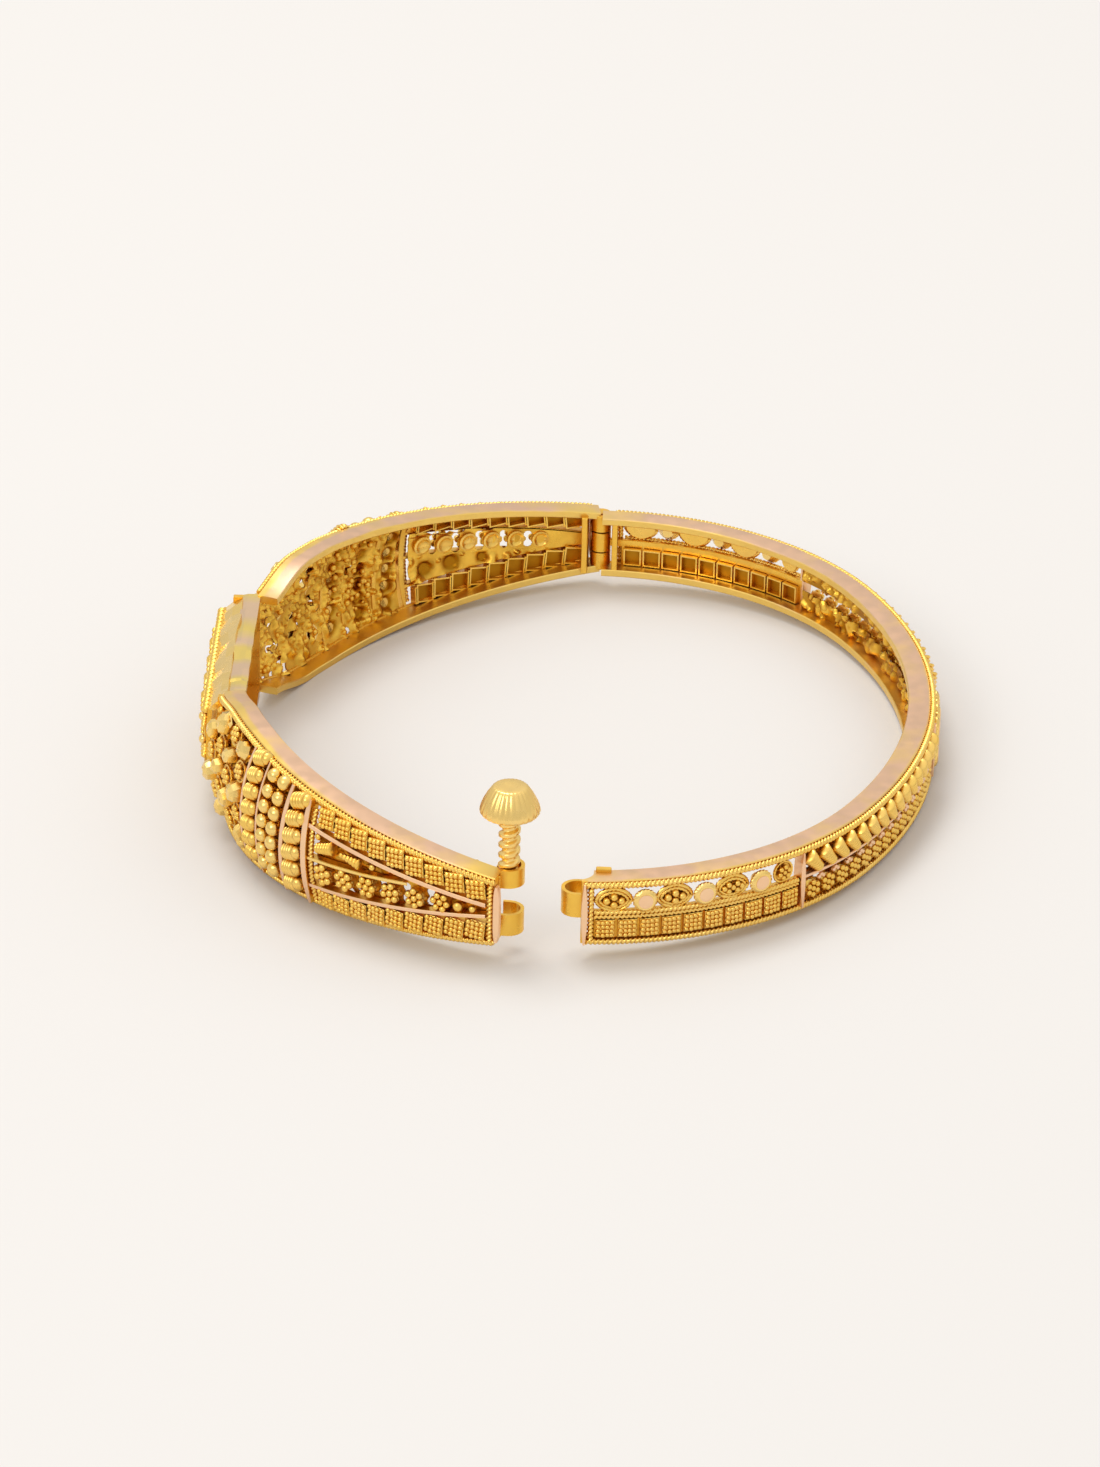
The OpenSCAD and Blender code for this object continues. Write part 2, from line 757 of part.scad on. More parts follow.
module ornate_rosettes() {
    shrink = 0.03;
    color(gold) opened() for (side = [-1, 1]) {
        for (i = [0:5]) {
            a = fan_rosette_first + fan_rosette_pitch * i;
            at_ornate(side * a) translate([0, 0, fan_z(a)]) rosette(fan_rosette - shrink * i);
        }
        at_ornate(side * 70.6) translate([clear, 0, 0.1]) rotate([0, 90, 0])
            cylinder(r1 = 0.4, r2 = 0.3, h = 0.5, $fn = small_fn);
        fan_cone(side, 50.6, 1.1, 0.42, 0.3, 1.7);
        fan_cone(side, 54.9, 1.12, 0.36, 0.18, 1.4);
    }
}

module ribbed_dome(r) {
    translate([clear, 0, 0]) intersection() {
        sphere(r, $fn = small_fn);
        translate([0, -2, -2]) cube([3, 4, 4]);
    }
}

module ornate_domes() {
    color(gold) opened() for (side = [-1, 1]) for (c = dome_columns) for (i = [0:c[1] - 1])
        at_bulge(side * c[0], c[3] + c[2] * (i + 0.5 - c[1] / 2)) ribbed_dome(dome_radius);
}

module ornate_balls() {
    color(gold) opened() for (side = [-1, 1]) for (a = ball_columns) for (i = [0:ball_count - 1])
        at_bulge(side * a, ball_middle + ball_pitch * (i + 0.5 - ball_count / 2))
            translate([ball_radius + clear, 0, 0]) sphere(ball_radius, $fn = 20);
}

// The field beside the plaque: cut bosses (kind 0) and ringed rosettes (kind 1) in turn.
module centre_field(kind) {
    for (side = [-1, 1]) for (k = [0:3]) for (i = [0:4]) {
        a = field_first - field_step * k;
        z = field_top - field_drop * i;
        limit = ornate_h(a) - (k == 3 ? 2.2 : 1.2);
        if (abs(z) < limit && (i + k) % 2 == kind) at_bulge(side * a, z) children();
    }
}

module centre_rosettes() {
    color(gold) opened() centre_field(1) rosette(0.8);
}

module cut_boss() {
    straight = 0.35;
    translate([clear, 0, 0]) rotate([0, 90, 0]) {
        cylinder(r = boss_radius, h = straight, $fn = 8);
        translate([0, 0, straight]) cylinder(r1 = boss_radius, r2 = 0.3, h = 0.5, $fn = 8);
    }
}

module centre_bosses() {
    color(gold) opened() centre_field(0) cut_boss();
}

// Beads on the outside of the plaque, each row just clear of the bevel behind it.
module bead_row(x, z, r, count, pitch) {
    for (v = [-1, 1]) for (i = [0:count - 1])
        translate([x, pitch * (i + 0.5 - count / 2), v * z]) sphere(r, $fn = 20);
}

module plaque_beads() {
    color(gold) opened() plaque_place() {
        bead_row(-1.9, 3.3, 0.36, 13, 1.2);
        bead_row(-2.2, 1.9, 0.52, 5, 3.1);
        bead_row(-2.12, 0.95, 0.4, 4, 3.1);
        for (i = [-2:2]) translate([-2.29, 3.1 * i, 0]) sphere(0.52, $fn = 20);
    }
}

// Hinge pin and screw
module hinge_pin() {
    proud = 0.1;
    color(gold) rest() translate([0, hinge_y, -knuckle_top - proud])
        cylinder(r = pin_radius, h = 2 * (knuckle_top + proud), $fn = round_fn);
}

module screw_place() {
    opened() translate([clasp_x, clasp_y, upper_loop[1] + screw_raise]) children();
}

module screw_core_pin() {
    color(gold) screw_place() translate([0, 0, 0.4 - screw_length])
        cylinder(r = core_radius, h = screw_length + 0.9, $fn = small_fn);
}

module screw_head() {
    flute = 0.36;
    difference() {
        rotate_extrude($fn = 64) polygon([
            [0, 0], [head_radius - 0.35, 0], [head_radius, 0.3], [head_radius - 0.1, 0.6],
            [head_radius - 0.42, 1.35], [head_top + 0.12, head_height - 0.12],
            [head_top, head_height], [0, head_height]]);
        for (i = [0:15]) rotate([0, 0, 22.5 * i]) translate([head_radius + 0.28, 0, -0.2])
            rotate([0, -28, 0]) cylinder(r = flute, h = 3.2, $fn = 16);
    }
}

// Rings stand in for the thread, one for each turn.
module screw_shank() {
    ridge = 0.27;
    translate([0, 0, -screw_length]) cylinder(r = screw_core, h = screw_length, $fn = round_fn);
    for (i = [0:5]) translate([0, 0, -0.45 - screw_pitch * i])
        rotate_extrude($fn = round_fn) translate([screw_radius - ridge, 0]) circle(ridge, $fn = 20);
}

module screw() {
    color(gold) screw_place() difference() {
        union() {
            screw_head();
            screw_shank();
        }
        translate([0, 0, -screw_length - 1])
            cylinder(r = core_bore, h = screw_length + 2.5, $fn = small_fn);
    }
}

plain_frame();
plain_ropes();
plain_squares();
plain_rosettes();
plain_discs();
plain_cones();
plain_granules();
ornate_frame();
ornate_ropes();
ornate_squares();
ornate_rosettes();
ornate_domes();
ornate_balls();
centre_rosettes();
centre_bosses();
plaque_beads();
hinge_pin();
screw_core_pin();
screw();
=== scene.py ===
# %% [markdown]
# A gold bangle in two halves, lying on its side. The solid model gives the sizes; this lesson
# dresses it with the goldsmith's detail: twisted wire, granules, cut bosses and a threaded screw.
# The first cell loads the fixed frame, and every later piece is placed in that same frame.

# %% Load the frame
import math
import bmesh
import bpy
import numpy as np
from mathutils import Matrix


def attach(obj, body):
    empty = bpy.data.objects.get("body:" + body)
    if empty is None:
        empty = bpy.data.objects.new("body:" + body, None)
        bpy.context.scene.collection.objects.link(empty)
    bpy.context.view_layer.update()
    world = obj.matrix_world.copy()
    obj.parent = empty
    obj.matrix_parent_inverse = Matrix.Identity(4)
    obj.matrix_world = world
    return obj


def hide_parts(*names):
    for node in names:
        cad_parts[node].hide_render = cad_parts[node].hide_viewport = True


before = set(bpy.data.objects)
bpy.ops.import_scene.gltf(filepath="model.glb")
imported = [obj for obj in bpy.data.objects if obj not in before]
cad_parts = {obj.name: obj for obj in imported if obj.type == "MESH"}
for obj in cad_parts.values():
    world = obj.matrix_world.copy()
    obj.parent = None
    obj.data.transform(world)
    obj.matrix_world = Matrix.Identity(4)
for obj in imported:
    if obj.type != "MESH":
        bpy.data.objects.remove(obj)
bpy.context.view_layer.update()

# %% [markdown]
# The jewel is drawn flat, in millimetres, in the plane of the bangle, because a goldsmith works it
# that way too. Each half then gets one rigid move: the ornate half is swung a few degrees about the
# hinge, and both are tilted, because the ornate half is wider than the plain one.

# %% Driving sizes in millimetres
REST_TILT = math.radians(3.1)
REST_LIFT = 4.2147
SHIFT_X = 1.0375
SHIFT_Y = -0.202
HINGE_Y = 32.2
CLOSED_TURN = math.radians(0.8)
OPEN_TURN = math.radians(4.65)
HALF_HEIGHT = 2.625
RIM_WIDTH = 1.75
RIM_THICK = 0.6


def turn_z(points, angle, centre_y=0.0):
    """Points turned about an upright axis through (0, centre_y)."""
    c, s = math.cos(angle), math.sin(angle)
    x, y = points[..., 0], points[..., 1] - centre_y
    return np.stack([c * x - s * y, s * x + c * y + centre_y, points[..., 2]], axis=-1)


def to_frame(points, ornate):
    """Flat millimetres to the shared frame in metres: swing, tilt about Y, then lift and shift."""
    p = turn_z(points, CLOSED_TURN - OPEN_TURN, HINGE_Y) if ornate else points
    c, s = math.cos(REST_TILT), math.sin(REST_TILT)
    x = p[..., 0] * c + p[..., 2] * s + SHIFT_X
    z = -p[..., 0] * s + p[..., 2] * c + REST_LIFT
    return np.stack([x, p[..., 1] + SHIFT_Y, z], axis=-1) / 1000.0


print("screw and hinge axes lean by", round(math.degrees(REST_TILT), 2), "degrees")

# %% [markdown]
# Both plans are made of circular arcs, so a place on the wall is one number: the run along the
# plain half, or the angle along the ornate half. A place returns a point and three directions,
# along the wall, up, and outwards, and every ornament is set in those directions.

# %% Places along the walls
PLAIN_DEPTH = 27.0
HALF_LENGTH = 32.3
END_ARC = 25.1
END_OFFSET = HALF_LENGTH - END_ARC
SIDE_SHIFT = (END_OFFSET ** 2 - (PLAIN_DEPTH - END_ARC) ** 2) / (2 * (PLAIN_DEPTH - END_ARC))
SIDE_ARC = PLAIN_DEPTH + SIDE_SHIFT
SIDE_ANGLE = math.atan2(END_OFFSET, SIDE_SHIFT)
END_RUN = END_ARC * (math.pi / 2 - SIDE_ANGLE)
SIDE_RUN = SIDE_ARC * 2 * SIDE_ANGLE
PLAIN_RUN = 2 * END_RUN + SIDE_RUN
ORNATE_X = 7.89
ORNATE_R = 34.2
BULGE = 1.0
BULGE_R = 12.5
WEB_A = 47.1
FLAT_A = 75.0


def directions(point, angle, sign=1.0):
    """Point, along, up and outward arrays for places whose outward direction has this angle."""
    zero = np.zeros_like(angle)
    out = np.stack([np.cos(angle), np.sin(angle), zero], axis=-1)
    along = sign * np.stack([-np.sin(angle), np.cos(angle), zero], axis=-1)
    up = np.stack([zero, zero, zero + 1.0], axis=-1)
    return point, along, up, out


def plain_place(run, z=0.0, off=0.0):
    """Place on the plain half: near arc, side arc and far arc follow each other along the run."""
    run = np.atleast_1d(np.asarray(run, float))
    z = np.zeros_like(run) + z
    far = run - END_RUN - SIDE_RUN
    angle = np.where(run < END_RUN, -math.pi / 2 + run / END_ARC,
                     np.where(far < 0, -SIDE_ANGLE + (run - END_RUN) / SIDE_ARC,
                              SIDE_ANGLE + far / END_ARC))
    on_side = (run >= END_RUN) & (far < 0)
    radius = np.where(on_side, SIDE_ARC, END_ARC) + off
    cx = np.where(on_side, -SIDE_SHIFT, 0.0)
    cy = np.where(on_side, 0.0, np.where(far < 0, -END_OFFSET, END_OFFSET))
    point = np.stack([cx + radius * np.cos(angle), cy + radius * np.sin(angle), z], axis=-1)
    return directions(point, angle)


def ornate_place(degrees, z=0.0, off=0.0, bulged=True):
    """Place on the ornate half: on the drum, or on the swelling, which is full between the broad
    bars and fades to nothing at the end plates. The outward direction leans with the swelling."""
    degrees = np.atleast_1d(np.asarray(degrees, float))
    a = np.radians(degrees)
    z = np.zeros_like(a) + z
    share = np.clip((FLAT_A - np.abs(degrees)) / (FLAT_A - WEB_A), 0, 1) * float(bulged)
    curve = np.sqrt(BULGE_R ** 2 - z ** 2)
    out_by = share * (curve - BULGE_R + BULGE)
    lean = np.arctan2(share * z, curve)
    _, along, up, out = directions(np.zeros(a.shape + (3,)), math.pi - a)
    tilted_out = out * np.cos(lean)[:, None] + up * np.sin(lean)[:, None]
    tilted_up = up * np.cos(lean)[:, None] - out * np.sin(lean)[:, None]
    base = np.stack([ORNATE_X + 0 * a, 0 * a, z], axis=-1) + out * (ORNATE_R + out_by)[:, None]
    return base + tilted_out * np.reshape(off, (-1, 1)), along, tilted_up, tilted_out


def climbing(place):
    """The same places with along and up exchanged, for strips and ropes that stand upright."""
    point, along, up, out = place
    return point, up, along, out


WIDE, WAIST = 5.45, 4.25                 # half heights at the humps and at the plaque
SHOULDER_Y, WAIST_Y = 13.2, 9.0          # where the dip to the waist begins and ends


def ornate_height(degrees):
    """Half height of the ornate half: it splays with x, is capped, and dips to the waist."""
    a = np.radians(degrees)
    x = ORNATE_X - ORNATE_R * np.cos(a)
    y = np.abs(ORNATE_R * np.sin(a))
    splayed = np.minimum(HALF_HEIGHT - 0.13 * np.minimum(x, 0), WIDE)
    t = np.clip(((y - WAIST_Y) / (SHOULDER_Y - WAIST_Y) + 0.25) / 1.5, 0, 1)
    dip = WAIST + (WIDE - WAIST) * t * t * (3 - 2 * t)
    return np.minimum(splayed, dip)


def height_at(a):
    """The same half height for one angle, as a plain number."""
    return float(ornate_height(np.array([a]))[0])


print("plain run", round(PLAIN_RUN, 2), "mm; widest half height", WIDE, "mm")

# %% [markdown]
# Every mesh starts as rows of points, and a grid turns the rows into quads. The rows may be rings
# turned about an axis, or one outline laid at several heights. All of it works on whole arrays, so
# thousands of granules cost no loop over vertices.

# %% Grids of quads
def grid_faces(rows, cols, closed):
    """Quads between neighbouring rows of a grid, whose rows close on themselves if asked."""
    i = np.arange(rows - 1)[:, None]
    j = np.arange(cols if closed else cols - 1)[None, :]
    k = (j + 1) % cols
    here, ahead = i * cols, (i + 1) * cols
    quads = np.stack([here + j, here + k, ahead + k, ahead + j], -1)
    return quads.reshape(-1, 4)


def strip_lids(m):
    """Quads across both ends of an extruded outline whose second half runs back along the first."""
    i = np.arange(m // 2 - 1)
    lid = np.stack([i, i + 1, m - 2 - i, m - 1 - i], -1)
    return np.concatenate([lid[:, ::-1], lid + m])


def capped_grid(points):
    """A tube of closed rows with a pole at the middle of its first and last row."""
    rows, cols, _ = points.shape
    quads = grid_faces(rows, cols, True)
    verts = np.concatenate([points.reshape(-1, 3), points[:1].mean(1), points[-1:].mean(1)])
    j = np.arange(cols)
    k = (j + 1) % cols
    first, last = rows * cols, rows * cols + 1
    cap_a = np.stack([0 * j + first, k, j], -1)
    cap_b = np.stack([0 * j + last, (rows - 1) * cols + j, (rows - 1) * cols + k], -1)
    return verts, [quads, cap_a, cap_b]


def around(n):
    """Even angles once round a circle."""
    return np.linspace(0, 2 * math.pi, n, endpoint=False)


def turned(r, h, n):
    """Rings of n points about the upright axis, from columns of radii and heights."""
    t = around(n)
    return np.stack([r * np.cos(t), r * np.sin(t), h + 0 * t], -1)


def layers(outlines, heights):
    """Rows of points: each outline in plan at its own height."""
    return np.stack([np.concatenate([outline, np.full((len(outline), 1), z)], 1)
                     for outline, z in zip(outlines, heights)])


print("a grid of 4 by 3 points has", len(grid_faces(4, 3, False)), "quads")

# %% [markdown]
# A carried profile sweeps one closed outline along a path, as a draw plate gives a wire its section.
# A curve with a bevel could do that too, but not follow a changing height. A stamp copies one small
# shape to many places at once, where a modifier would need an object for each row.

# %% Carried profiles and stamps
def carried(profile, place, swell=1.0):
    """A closed outline of (out, up) pairs carried along a place array and capped at both ends.
    The up part of the outline is multiplied by swell, which may differ from row to row."""
    point, along, up, out = place
    swell = np.broadcast_to(np.asarray(swell, float), (len(point),))[:, None, None]
    rows = point[:, None, :] + profile[None, :, :1] * out[:, None, :] \
        + swell * profile[None, :, 1:] * up[:, None, :]
    return capped_grid(rows)


def joined(shapes):
    """Several (vertices, faces) shapes as one."""
    verts, faces, start = [], [], 0
    for v, f in shapes:
        verts.append(v)
        faces += [part + start for part in f]
        start += len(v)
    return np.concatenate(verts), faces


def stamped(shape, place, size=1.0, spin=0.0):
    """Copies of a shape, whose axes are along, up and outward, at every place of the array."""
    point, along, up, out = place
    v, f = shape
    n = len(point)
    size = np.broadcast_to(np.asarray(size, float), (n,))[:, None, None]
    spin = np.broadcast_to(np.asarray(spin, float), (n,))[:, None]
    a = along * np.cos(spin) + up * np.sin(spin)
    b = up * np.cos(spin) - along * np.sin(spin)
    local = v[None] * size
    verts = point[:, None] + local[..., :1] * a[:, None] + local[..., 1:2] * b[:, None] \
        + local[..., 2:] * out[:, None]
    offset = (np.arange(n) * len(v))[:, None, None]
    return verts.reshape(-1, 3), [(part[None] + offset).reshape(-1, part.shape[1]) for part in f]


triangle = np.array([[0, 0], [1, 0], [0, 1]])
print("a carried triangle has", len(carried(triangle, plain_place([0.0, 1.0]))[0]), "points")

# %% [markdown]
# A piece becomes an object of its own, named after what it is. Its faces are turned outwards, flat
# edges stay crisp by angle, and it rides on the body that it is soldered to. Where the real ends
# were filed out to let a loop in, a Boolean cuts the room out of the shape before it is placed.

# %% Finished pieces
def in_scene(name, data):
    """A new object, linked to the scene."""
    thing = bpy.data.objects.new(name, data)
    bpy.context.scene.collection.objects.link(thing)
    return thing


def outward_mesh(name, verts, faces):
    """A mesh from vertices and arrays of faces, with every face turned outwards."""
    mesh = bpy.data.meshes.new(name)
    mesh.from_pydata(verts, [], [row for part in faces for row in part.tolist()])
    mesh.validate()
    bm = bmesh.new()
    bm.from_mesh(mesh)
    bmesh.ops.recalc_face_normals(bm, faces=bm.faces)
    bm.to_mesh(mesh)
    bm.free()
    return mesh


def make_piece(name, shape, body, material, slot="gold", smooth=32.0, yellow=None):
    """A mesh object from a shape in flat millimetres; edges sharper than the angle stay crisp.
    The yellow array, if given, becomes a point attribute that the materials with painted light marks read."""
    verts, faces = shape
    mesh = outward_mesh(name, to_frame(verts, body != "plain"), faces)
    mesh.materials.append(material)
    if yellow is not None:
        marks = mesh.attributes.new("yellow", "FLOAT", "POINT")
        marks.data.foreach_set("value", np.asarray(yellow, np.float32))
    mesh.shade_smooth()
    mesh.set_sharp_from_angle(angle=math.radians(smooth))
    piece = in_scene(name, mesh)
    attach(piece, body)
    print(name, len(mesh.vertices), "vertices,", len(mesh.polygons), "faces")
    return piece


def marked_piece(name, parts, body, material, **how):
    """One piece from several (shape, yellow marks) pairs."""
    shapes, marks = zip(*parts)
    return make_piece(name, joined(shapes), body, material, yellow=np.concatenate(marks), **how)


def cut_away(shape, room):
    """What is left of a closed shape after another closed shape is cut out of it."""
    piece, cutter = (in_scene("cut", outward_mesh("cut", *part)) for part in (shape, room))
    modifier = piece.modifiers.new("room", "BOOLEAN")
    modifier.object, modifier.operation, modifier.solver = cutter, "DIFFERENCE", "EXACT"
    bpy.context.view_layer.update()
    left = piece.evaluated_get(bpy.context.evaluated_depsgraph_get()).to_mesh()
    verts = np.empty(3 * len(left.vertices))
    left.vertices.foreach_get("co", verts)
    faces = [np.array([face.vertices[:]]) for face in left.polygons]
    for thing in (piece, cutter):
        mesh = thing.data
        bpy.data.objects.remove(thing)
        bpy.data.meshes.remove(mesh)
    return verts.reshape(-1, 3), faces


# %% [markdown]
# High-carat gold is pale yellow where it is rubbed, and the flat tops of the rims are painted pink, a
# painted reflection on faces that look up. The colour varies through one shared node group: noise drifts
# the tone, and an occlusion mask paints shade into the crevices, mixing towards a deep orange shade
# colour. Roughness varies with a second noise.

# %% Gold tone group
TONE_INPUTS = {"Bright": (0.95, 0.6, 0.16, 1), "Deep": (0.55, 0.22, 0.01, 1), "Rubbed": (0.9, 0.62, 0.3, 1),
               "Patch scale": 180.0, "Patch amount": 0.3, "Rough low": 0.2, "Rough high": 0.38,
               "Crevice": 0.0006}
MIX_A, MIX_B, MIX_OUT = 6, 7, 2          # the colour sockets of a Mix node


def node(tree, kind, inputs, **settings):
    """A new node. Each input takes a value, or the output of another node as a link."""
    made = tree.nodes.new("ShaderNode" + kind)
    for key, value in settings.items():
        setattr(made, key, value)
    for key, value in inputs.items():
        if isinstance(value, bpy.types.NodeSocket):
            tree.links.new(value, made.inputs[key])
        else:
            made.inputs[key].default_value = value
    return made


def gold_tone_group():
    """Colour, roughness and bump height of worn gold from object coordinates, with painted shade in the
    crevices.
    """
    g = bpy.data.node_groups.new("gold_tone", "ShaderNodeTree")
    for name, value in TONE_INPUTS.items():
        kind = "NodeSocketColor" if isinstance(value, tuple) else "NodeSocketFloat"
        g.interface.new_socket(name=name, in_out="INPUT", socket_type=kind).default_value = value
    for name, kind in (("Colour", "Color"), ("Roughness", "Float"), ("Height", "Float")):
        g.interface.new_socket(name=name, in_out="OUTPUT", socket_type="NodeSocket" + kind)
    given, out = g.nodes.new("NodeGroupInput").outputs, g.nodes.new("NodeGroupOutput").inputs
    where = node(g, "TexCoord", {}).outputs["Object"]
    patch = node(g, "TexNoise", {"Vector": where, "Scale": given["Patch scale"],
                                 "Detail": 3.0}).outputs["Fac"]
    spread = node(g, "MapRange", {"Value": patch, "From Min": 0.42, "From Max": 0.62,
                                  "To Max": given["Patch amount"]}).outputs["Result"]
    tone = node(g, "Mix", {"Factor": spread, MIX_A: given["Bright"], MIX_B: given["Rubbed"]},
                data_type="RGBA").outputs[MIX_OUT]
    # painted shade: the occlusion mask mixes the colour towards the shade colour in the crevices
    crease = node(g, "AmbientOcclusion", {"Distance": given["Crevice"]}, samples=6).outputs["AO"]
    shade = node(g, "MapRange", {"Value": crease, "From Min": 0.1, "From Max": 0.7}).outputs["Result"]
    colour = node(g, "Mix", {"Factor": shade, MIX_A: given["Deep"], MIX_B: tone}, data_type="RGBA")
    fine = node(g, "TexNoise", {"Vector": where, "Scale": 900.0, "Detail": 4.0}).outputs["Fac"]
    rough = node(g, "MapRange", {"Value": fine, "From Min": 0.35, "From Max": 0.65,
                                 "To Min": given["Rough low"], "To Max": given["Rough high"]})
    dent = node(g, "Math", {0: fine, 1: patch}, operation="ADD")
    g.links.new(colour.outputs[MIX_OUT], out["Colour"])
    g.links.new(rough.outputs["Result"], out["Roughness"])
    g.links.new(dent.outputs["Value"], out["Height"])
    return g


GOLD_TONE = gold_tone_group()
print("gold tone group has", len(GOLD_TONE.nodes), "nodes")

# %% [markdown]
# Every alloy is its own material with its own values in the shared group. Some of them also change
# between two colours over one piece. A painted mask could say where; here each point of the mesh
# carries a number, and noise frays the border between the two. On the rims the pink of the faces that
# look up is a painted reflection, and on the inner walls the dark colour is painted shade.

# %% Gold materials
RELIEF = 0.00005                         # depth of the scratches in metres


def gold(name, bright, shade_colour, rubbed, patch=(180.0, 0.3), rough=(0.2, 0.38), bump=0.15, crevice=0.0006):
    """A metal that takes its colour, roughness and bump from the shared gold tone group."""
    material = bpy.data.materials.new(name)
    material.use_nodes = True
    tree = material.node_tree
    shader = tree.nodes["Principled BSDF"]
    shader.inputs["Metallic"].default_value = 1.0
    tone = node(tree, "Group", {}, node_tree=GOLD_TONE)
    values = (bright + (1,), shade_colour + (1,), rubbed + (1,), *patch, *rough, crevice)
    for socket, value in zip(TONE_INPUTS, values):
        tone.inputs[socket].default_value = value
    relief = node(tree, "Bump", {"Strength": bump, "Distance": RELIEF, "Height": tone.outputs["Height"]})
    tree.links.new(tone.outputs["Colour"], shader.inputs["Base Color"])
    tree.links.new(tone.outputs["Roughness"], shader.inputs["Roughness"])
    tree.links.new(relief.outputs["Normal"], shader.inputs["Normal"])
    return material


def painted_light_mix(material, pink, yellow):
    """Make the metal take the pink colour where the mesh's yellow attribute is 0 and the yellow colour
    where it is 1, with a border that noise frays. On the rims the pink is a painted reflection on the
    faces that look up; on the inner walls the yellow colour is dark and is painted shade."""
    tree = material.node_tree
    tone = next(part for part in tree.nodes if part.type == "GROUP")
    mark = node(tree, "Attribute", {}, attribute_name="yellow").outputs["Fac"]
    where = node(tree, "TexCoord", {}).outputs["Object"]
    fray = node(tree, "TexNoise", {"Vector": where, "Scale": 260.0, "Detail": 3.0}).outputs["Fac"]
    shift = node(tree, "Math", {0: fray, 1: 2.2, 2: -1.1}, operation="MULTIPLY_ADD").outputs["Value"]
    share = node(tree, "Math", {0: mark, 1: shift}, operation="ADD", use_clamp=True).outputs["Value"]
    for socket, gain in (("Bright", 1.0), ("Rubbed", 1.06)):
        ends = [tuple(gain * c for c in colour) + (1,) for colour in (pink, yellow)]
        mix = node(tree, "Mix", {"Factor": share, MIX_A: ends[0], MIX_B: ends[1]}, data_type="RGBA")
        tree.links.new(mix.outputs[MIX_OUT], tone.inputs[socket])
    return material


SHADE_COLOUR = (0.62, 0.27, 0.014)
GRAIN_GOLD = gold("grain_gold", (0.94, 0.60, 0.12), SHADE_COLOUR, (0.96, 0.68, 0.24))
WIRE_GOLD = gold("wire_gold", (0.94, 0.61, 0.14), SHADE_COLOUR, (0.96, 0.69, 0.26), rough=(0.22, 0.36))
SHEET_GOLD = gold("sheet_gold", (0.92, 0.55, 0.08), (0.62, 0.25, 0.01), (0.95, 0.65, 0.17),
                  rough=(0.22, 0.42), bump=0.3, crevice=0.0012)
# the dark second colour of the inner walls is painted shade
WALL_GOLD_AND_SHADE = painted_light_mix(gold("wall_gold", (0.9, 0.53, 0.07), (0.46, 0.17, 0.006), (0.93, 0.62, 0.16),
                            rough=(0.24, 0.42), bump=0.3, crevice=0.0016),
                       (0.92, 0.56, 0.08), (0.42, 0.18, 0.008))
# painted shade: the dark metal of the faces set in the cups' hollow backs
PAINTED_SHADE_GOLD = gold("hollow_gold", (0.42, 0.19, 0.01), (0.28, 0.10, 0.002), (0.60, 0.31, 0.03),
                   rough=(0.3, 0.5))
# painted reflection: the rims' pink stands for the reflection on faces that look up; the marks make the rest
# yellow
RIM_GOLD = painted_light_mix(gold("rim_gold", (0.80, 0.53, 0.34), (0.66, 0.36, 0.12), (0.80, 0.60, 0.28),
                           patch=(140.0, 0.5), rough=(0.28, 0.42), bump=0.12),
                      (0.80, 0.52, 0.34), (0.90, 0.62, 0.16))
# painted reflection: the plaque rim's facets are pink or yellow one by one from a table
PLAQUE_GOLD = painted_light_mix(gold("plaque_gold", (0.86, 0.60, 0.36), (0.66, 0.36, 0.12), (0.80, 0.60, 0.28),
                              rough=(0.12, 0.22), bump=0.1), (0.86, 0.60, 0.38), (0.92, 0.68, 0.18))
PINK_GOLD = gold("pink_gold", (0.95, 0.62, 0.38), (0.85, 0.46, 0.18), (0.93, 0.68, 0.40),
                 rough=(0.28, 0.44))
BOSS_GOLD = gold("boss_gold", (0.95, 0.66, 0.20), SHADE_COLOUR, (0.97, 0.75, 0.34), rough=(0.18, 0.32))
SCREW_GOLD = gold("screw_gold", (0.95, 0.66, 0.22), (0.78, 0.42, 0.05), (0.97, 0.75, 0.34),
                  rough=(0.2, 0.34))
print("materials:", [m.name for m in bpy.data.materials])

# %% [markdown]
# When the clasp closes, the loops of one half go into the other and the screw goes through them
# all, so the goldsmith filed round room for them in the end plates and rims. The room is one shape
# turned about the screw's axis: narrow for the screw, wide where a loop comes in.

# %% Room for the clasp
CLASP = (0.6, -30.85)                    # the screw's axis in plan
LOOP_ROOM, SCREW_ROOM = 1.25, 0.905      # radii


def clasp_room(loop_heights, low=-4.0, high=6.0):
    """Rows of circles about the screw's axis: wide between each pair of heights, else narrow."""
    profile = [(SCREW_ROOM, low)]
    for z0, z1 in loop_heights:
        profile += [(SCREW_ROOM, z0), (LOOP_ROOM, z0), (LOOP_ROOM, z1), (SCREW_ROOM, z1)]
    profile.append((SCREW_ROOM, high))
    profile = np.array(profile)
    return capped_grid(turned(profile[:, :1], profile[:, 1:], 48) + [*CLASP, 0])


PLAIN_ROOM = clasp_room([(-2.55, -0.7), (1.45, 3.2)])
ORNATE_ROOM = clasp_room([(-0.65, 1.4)])
print("loops need room of radius", LOOP_ROOM, "mm, and the screw", SCREW_ROOM, "mm")

# %% [markdown]
# The rims are flat strips laid on edge round each half. A strip could be a curve with a bevel, but
# a profile with softened corners carried along the wall gives the same bright edge line and
# follows the changing height of the ornate half too.

# %% Strips and the rims' section
PLAIN_START = 1.0
PLAIN_STOP = PLAIN_RUN - 0.15
RIM_JOIN = 2.2                           # run where the plain rims' filed ends begin
NEAR_A, FAR_A, PLAQUE_A = -74.8, 76.0, 14.6
ACROSS = 10                              # points over a rim's width


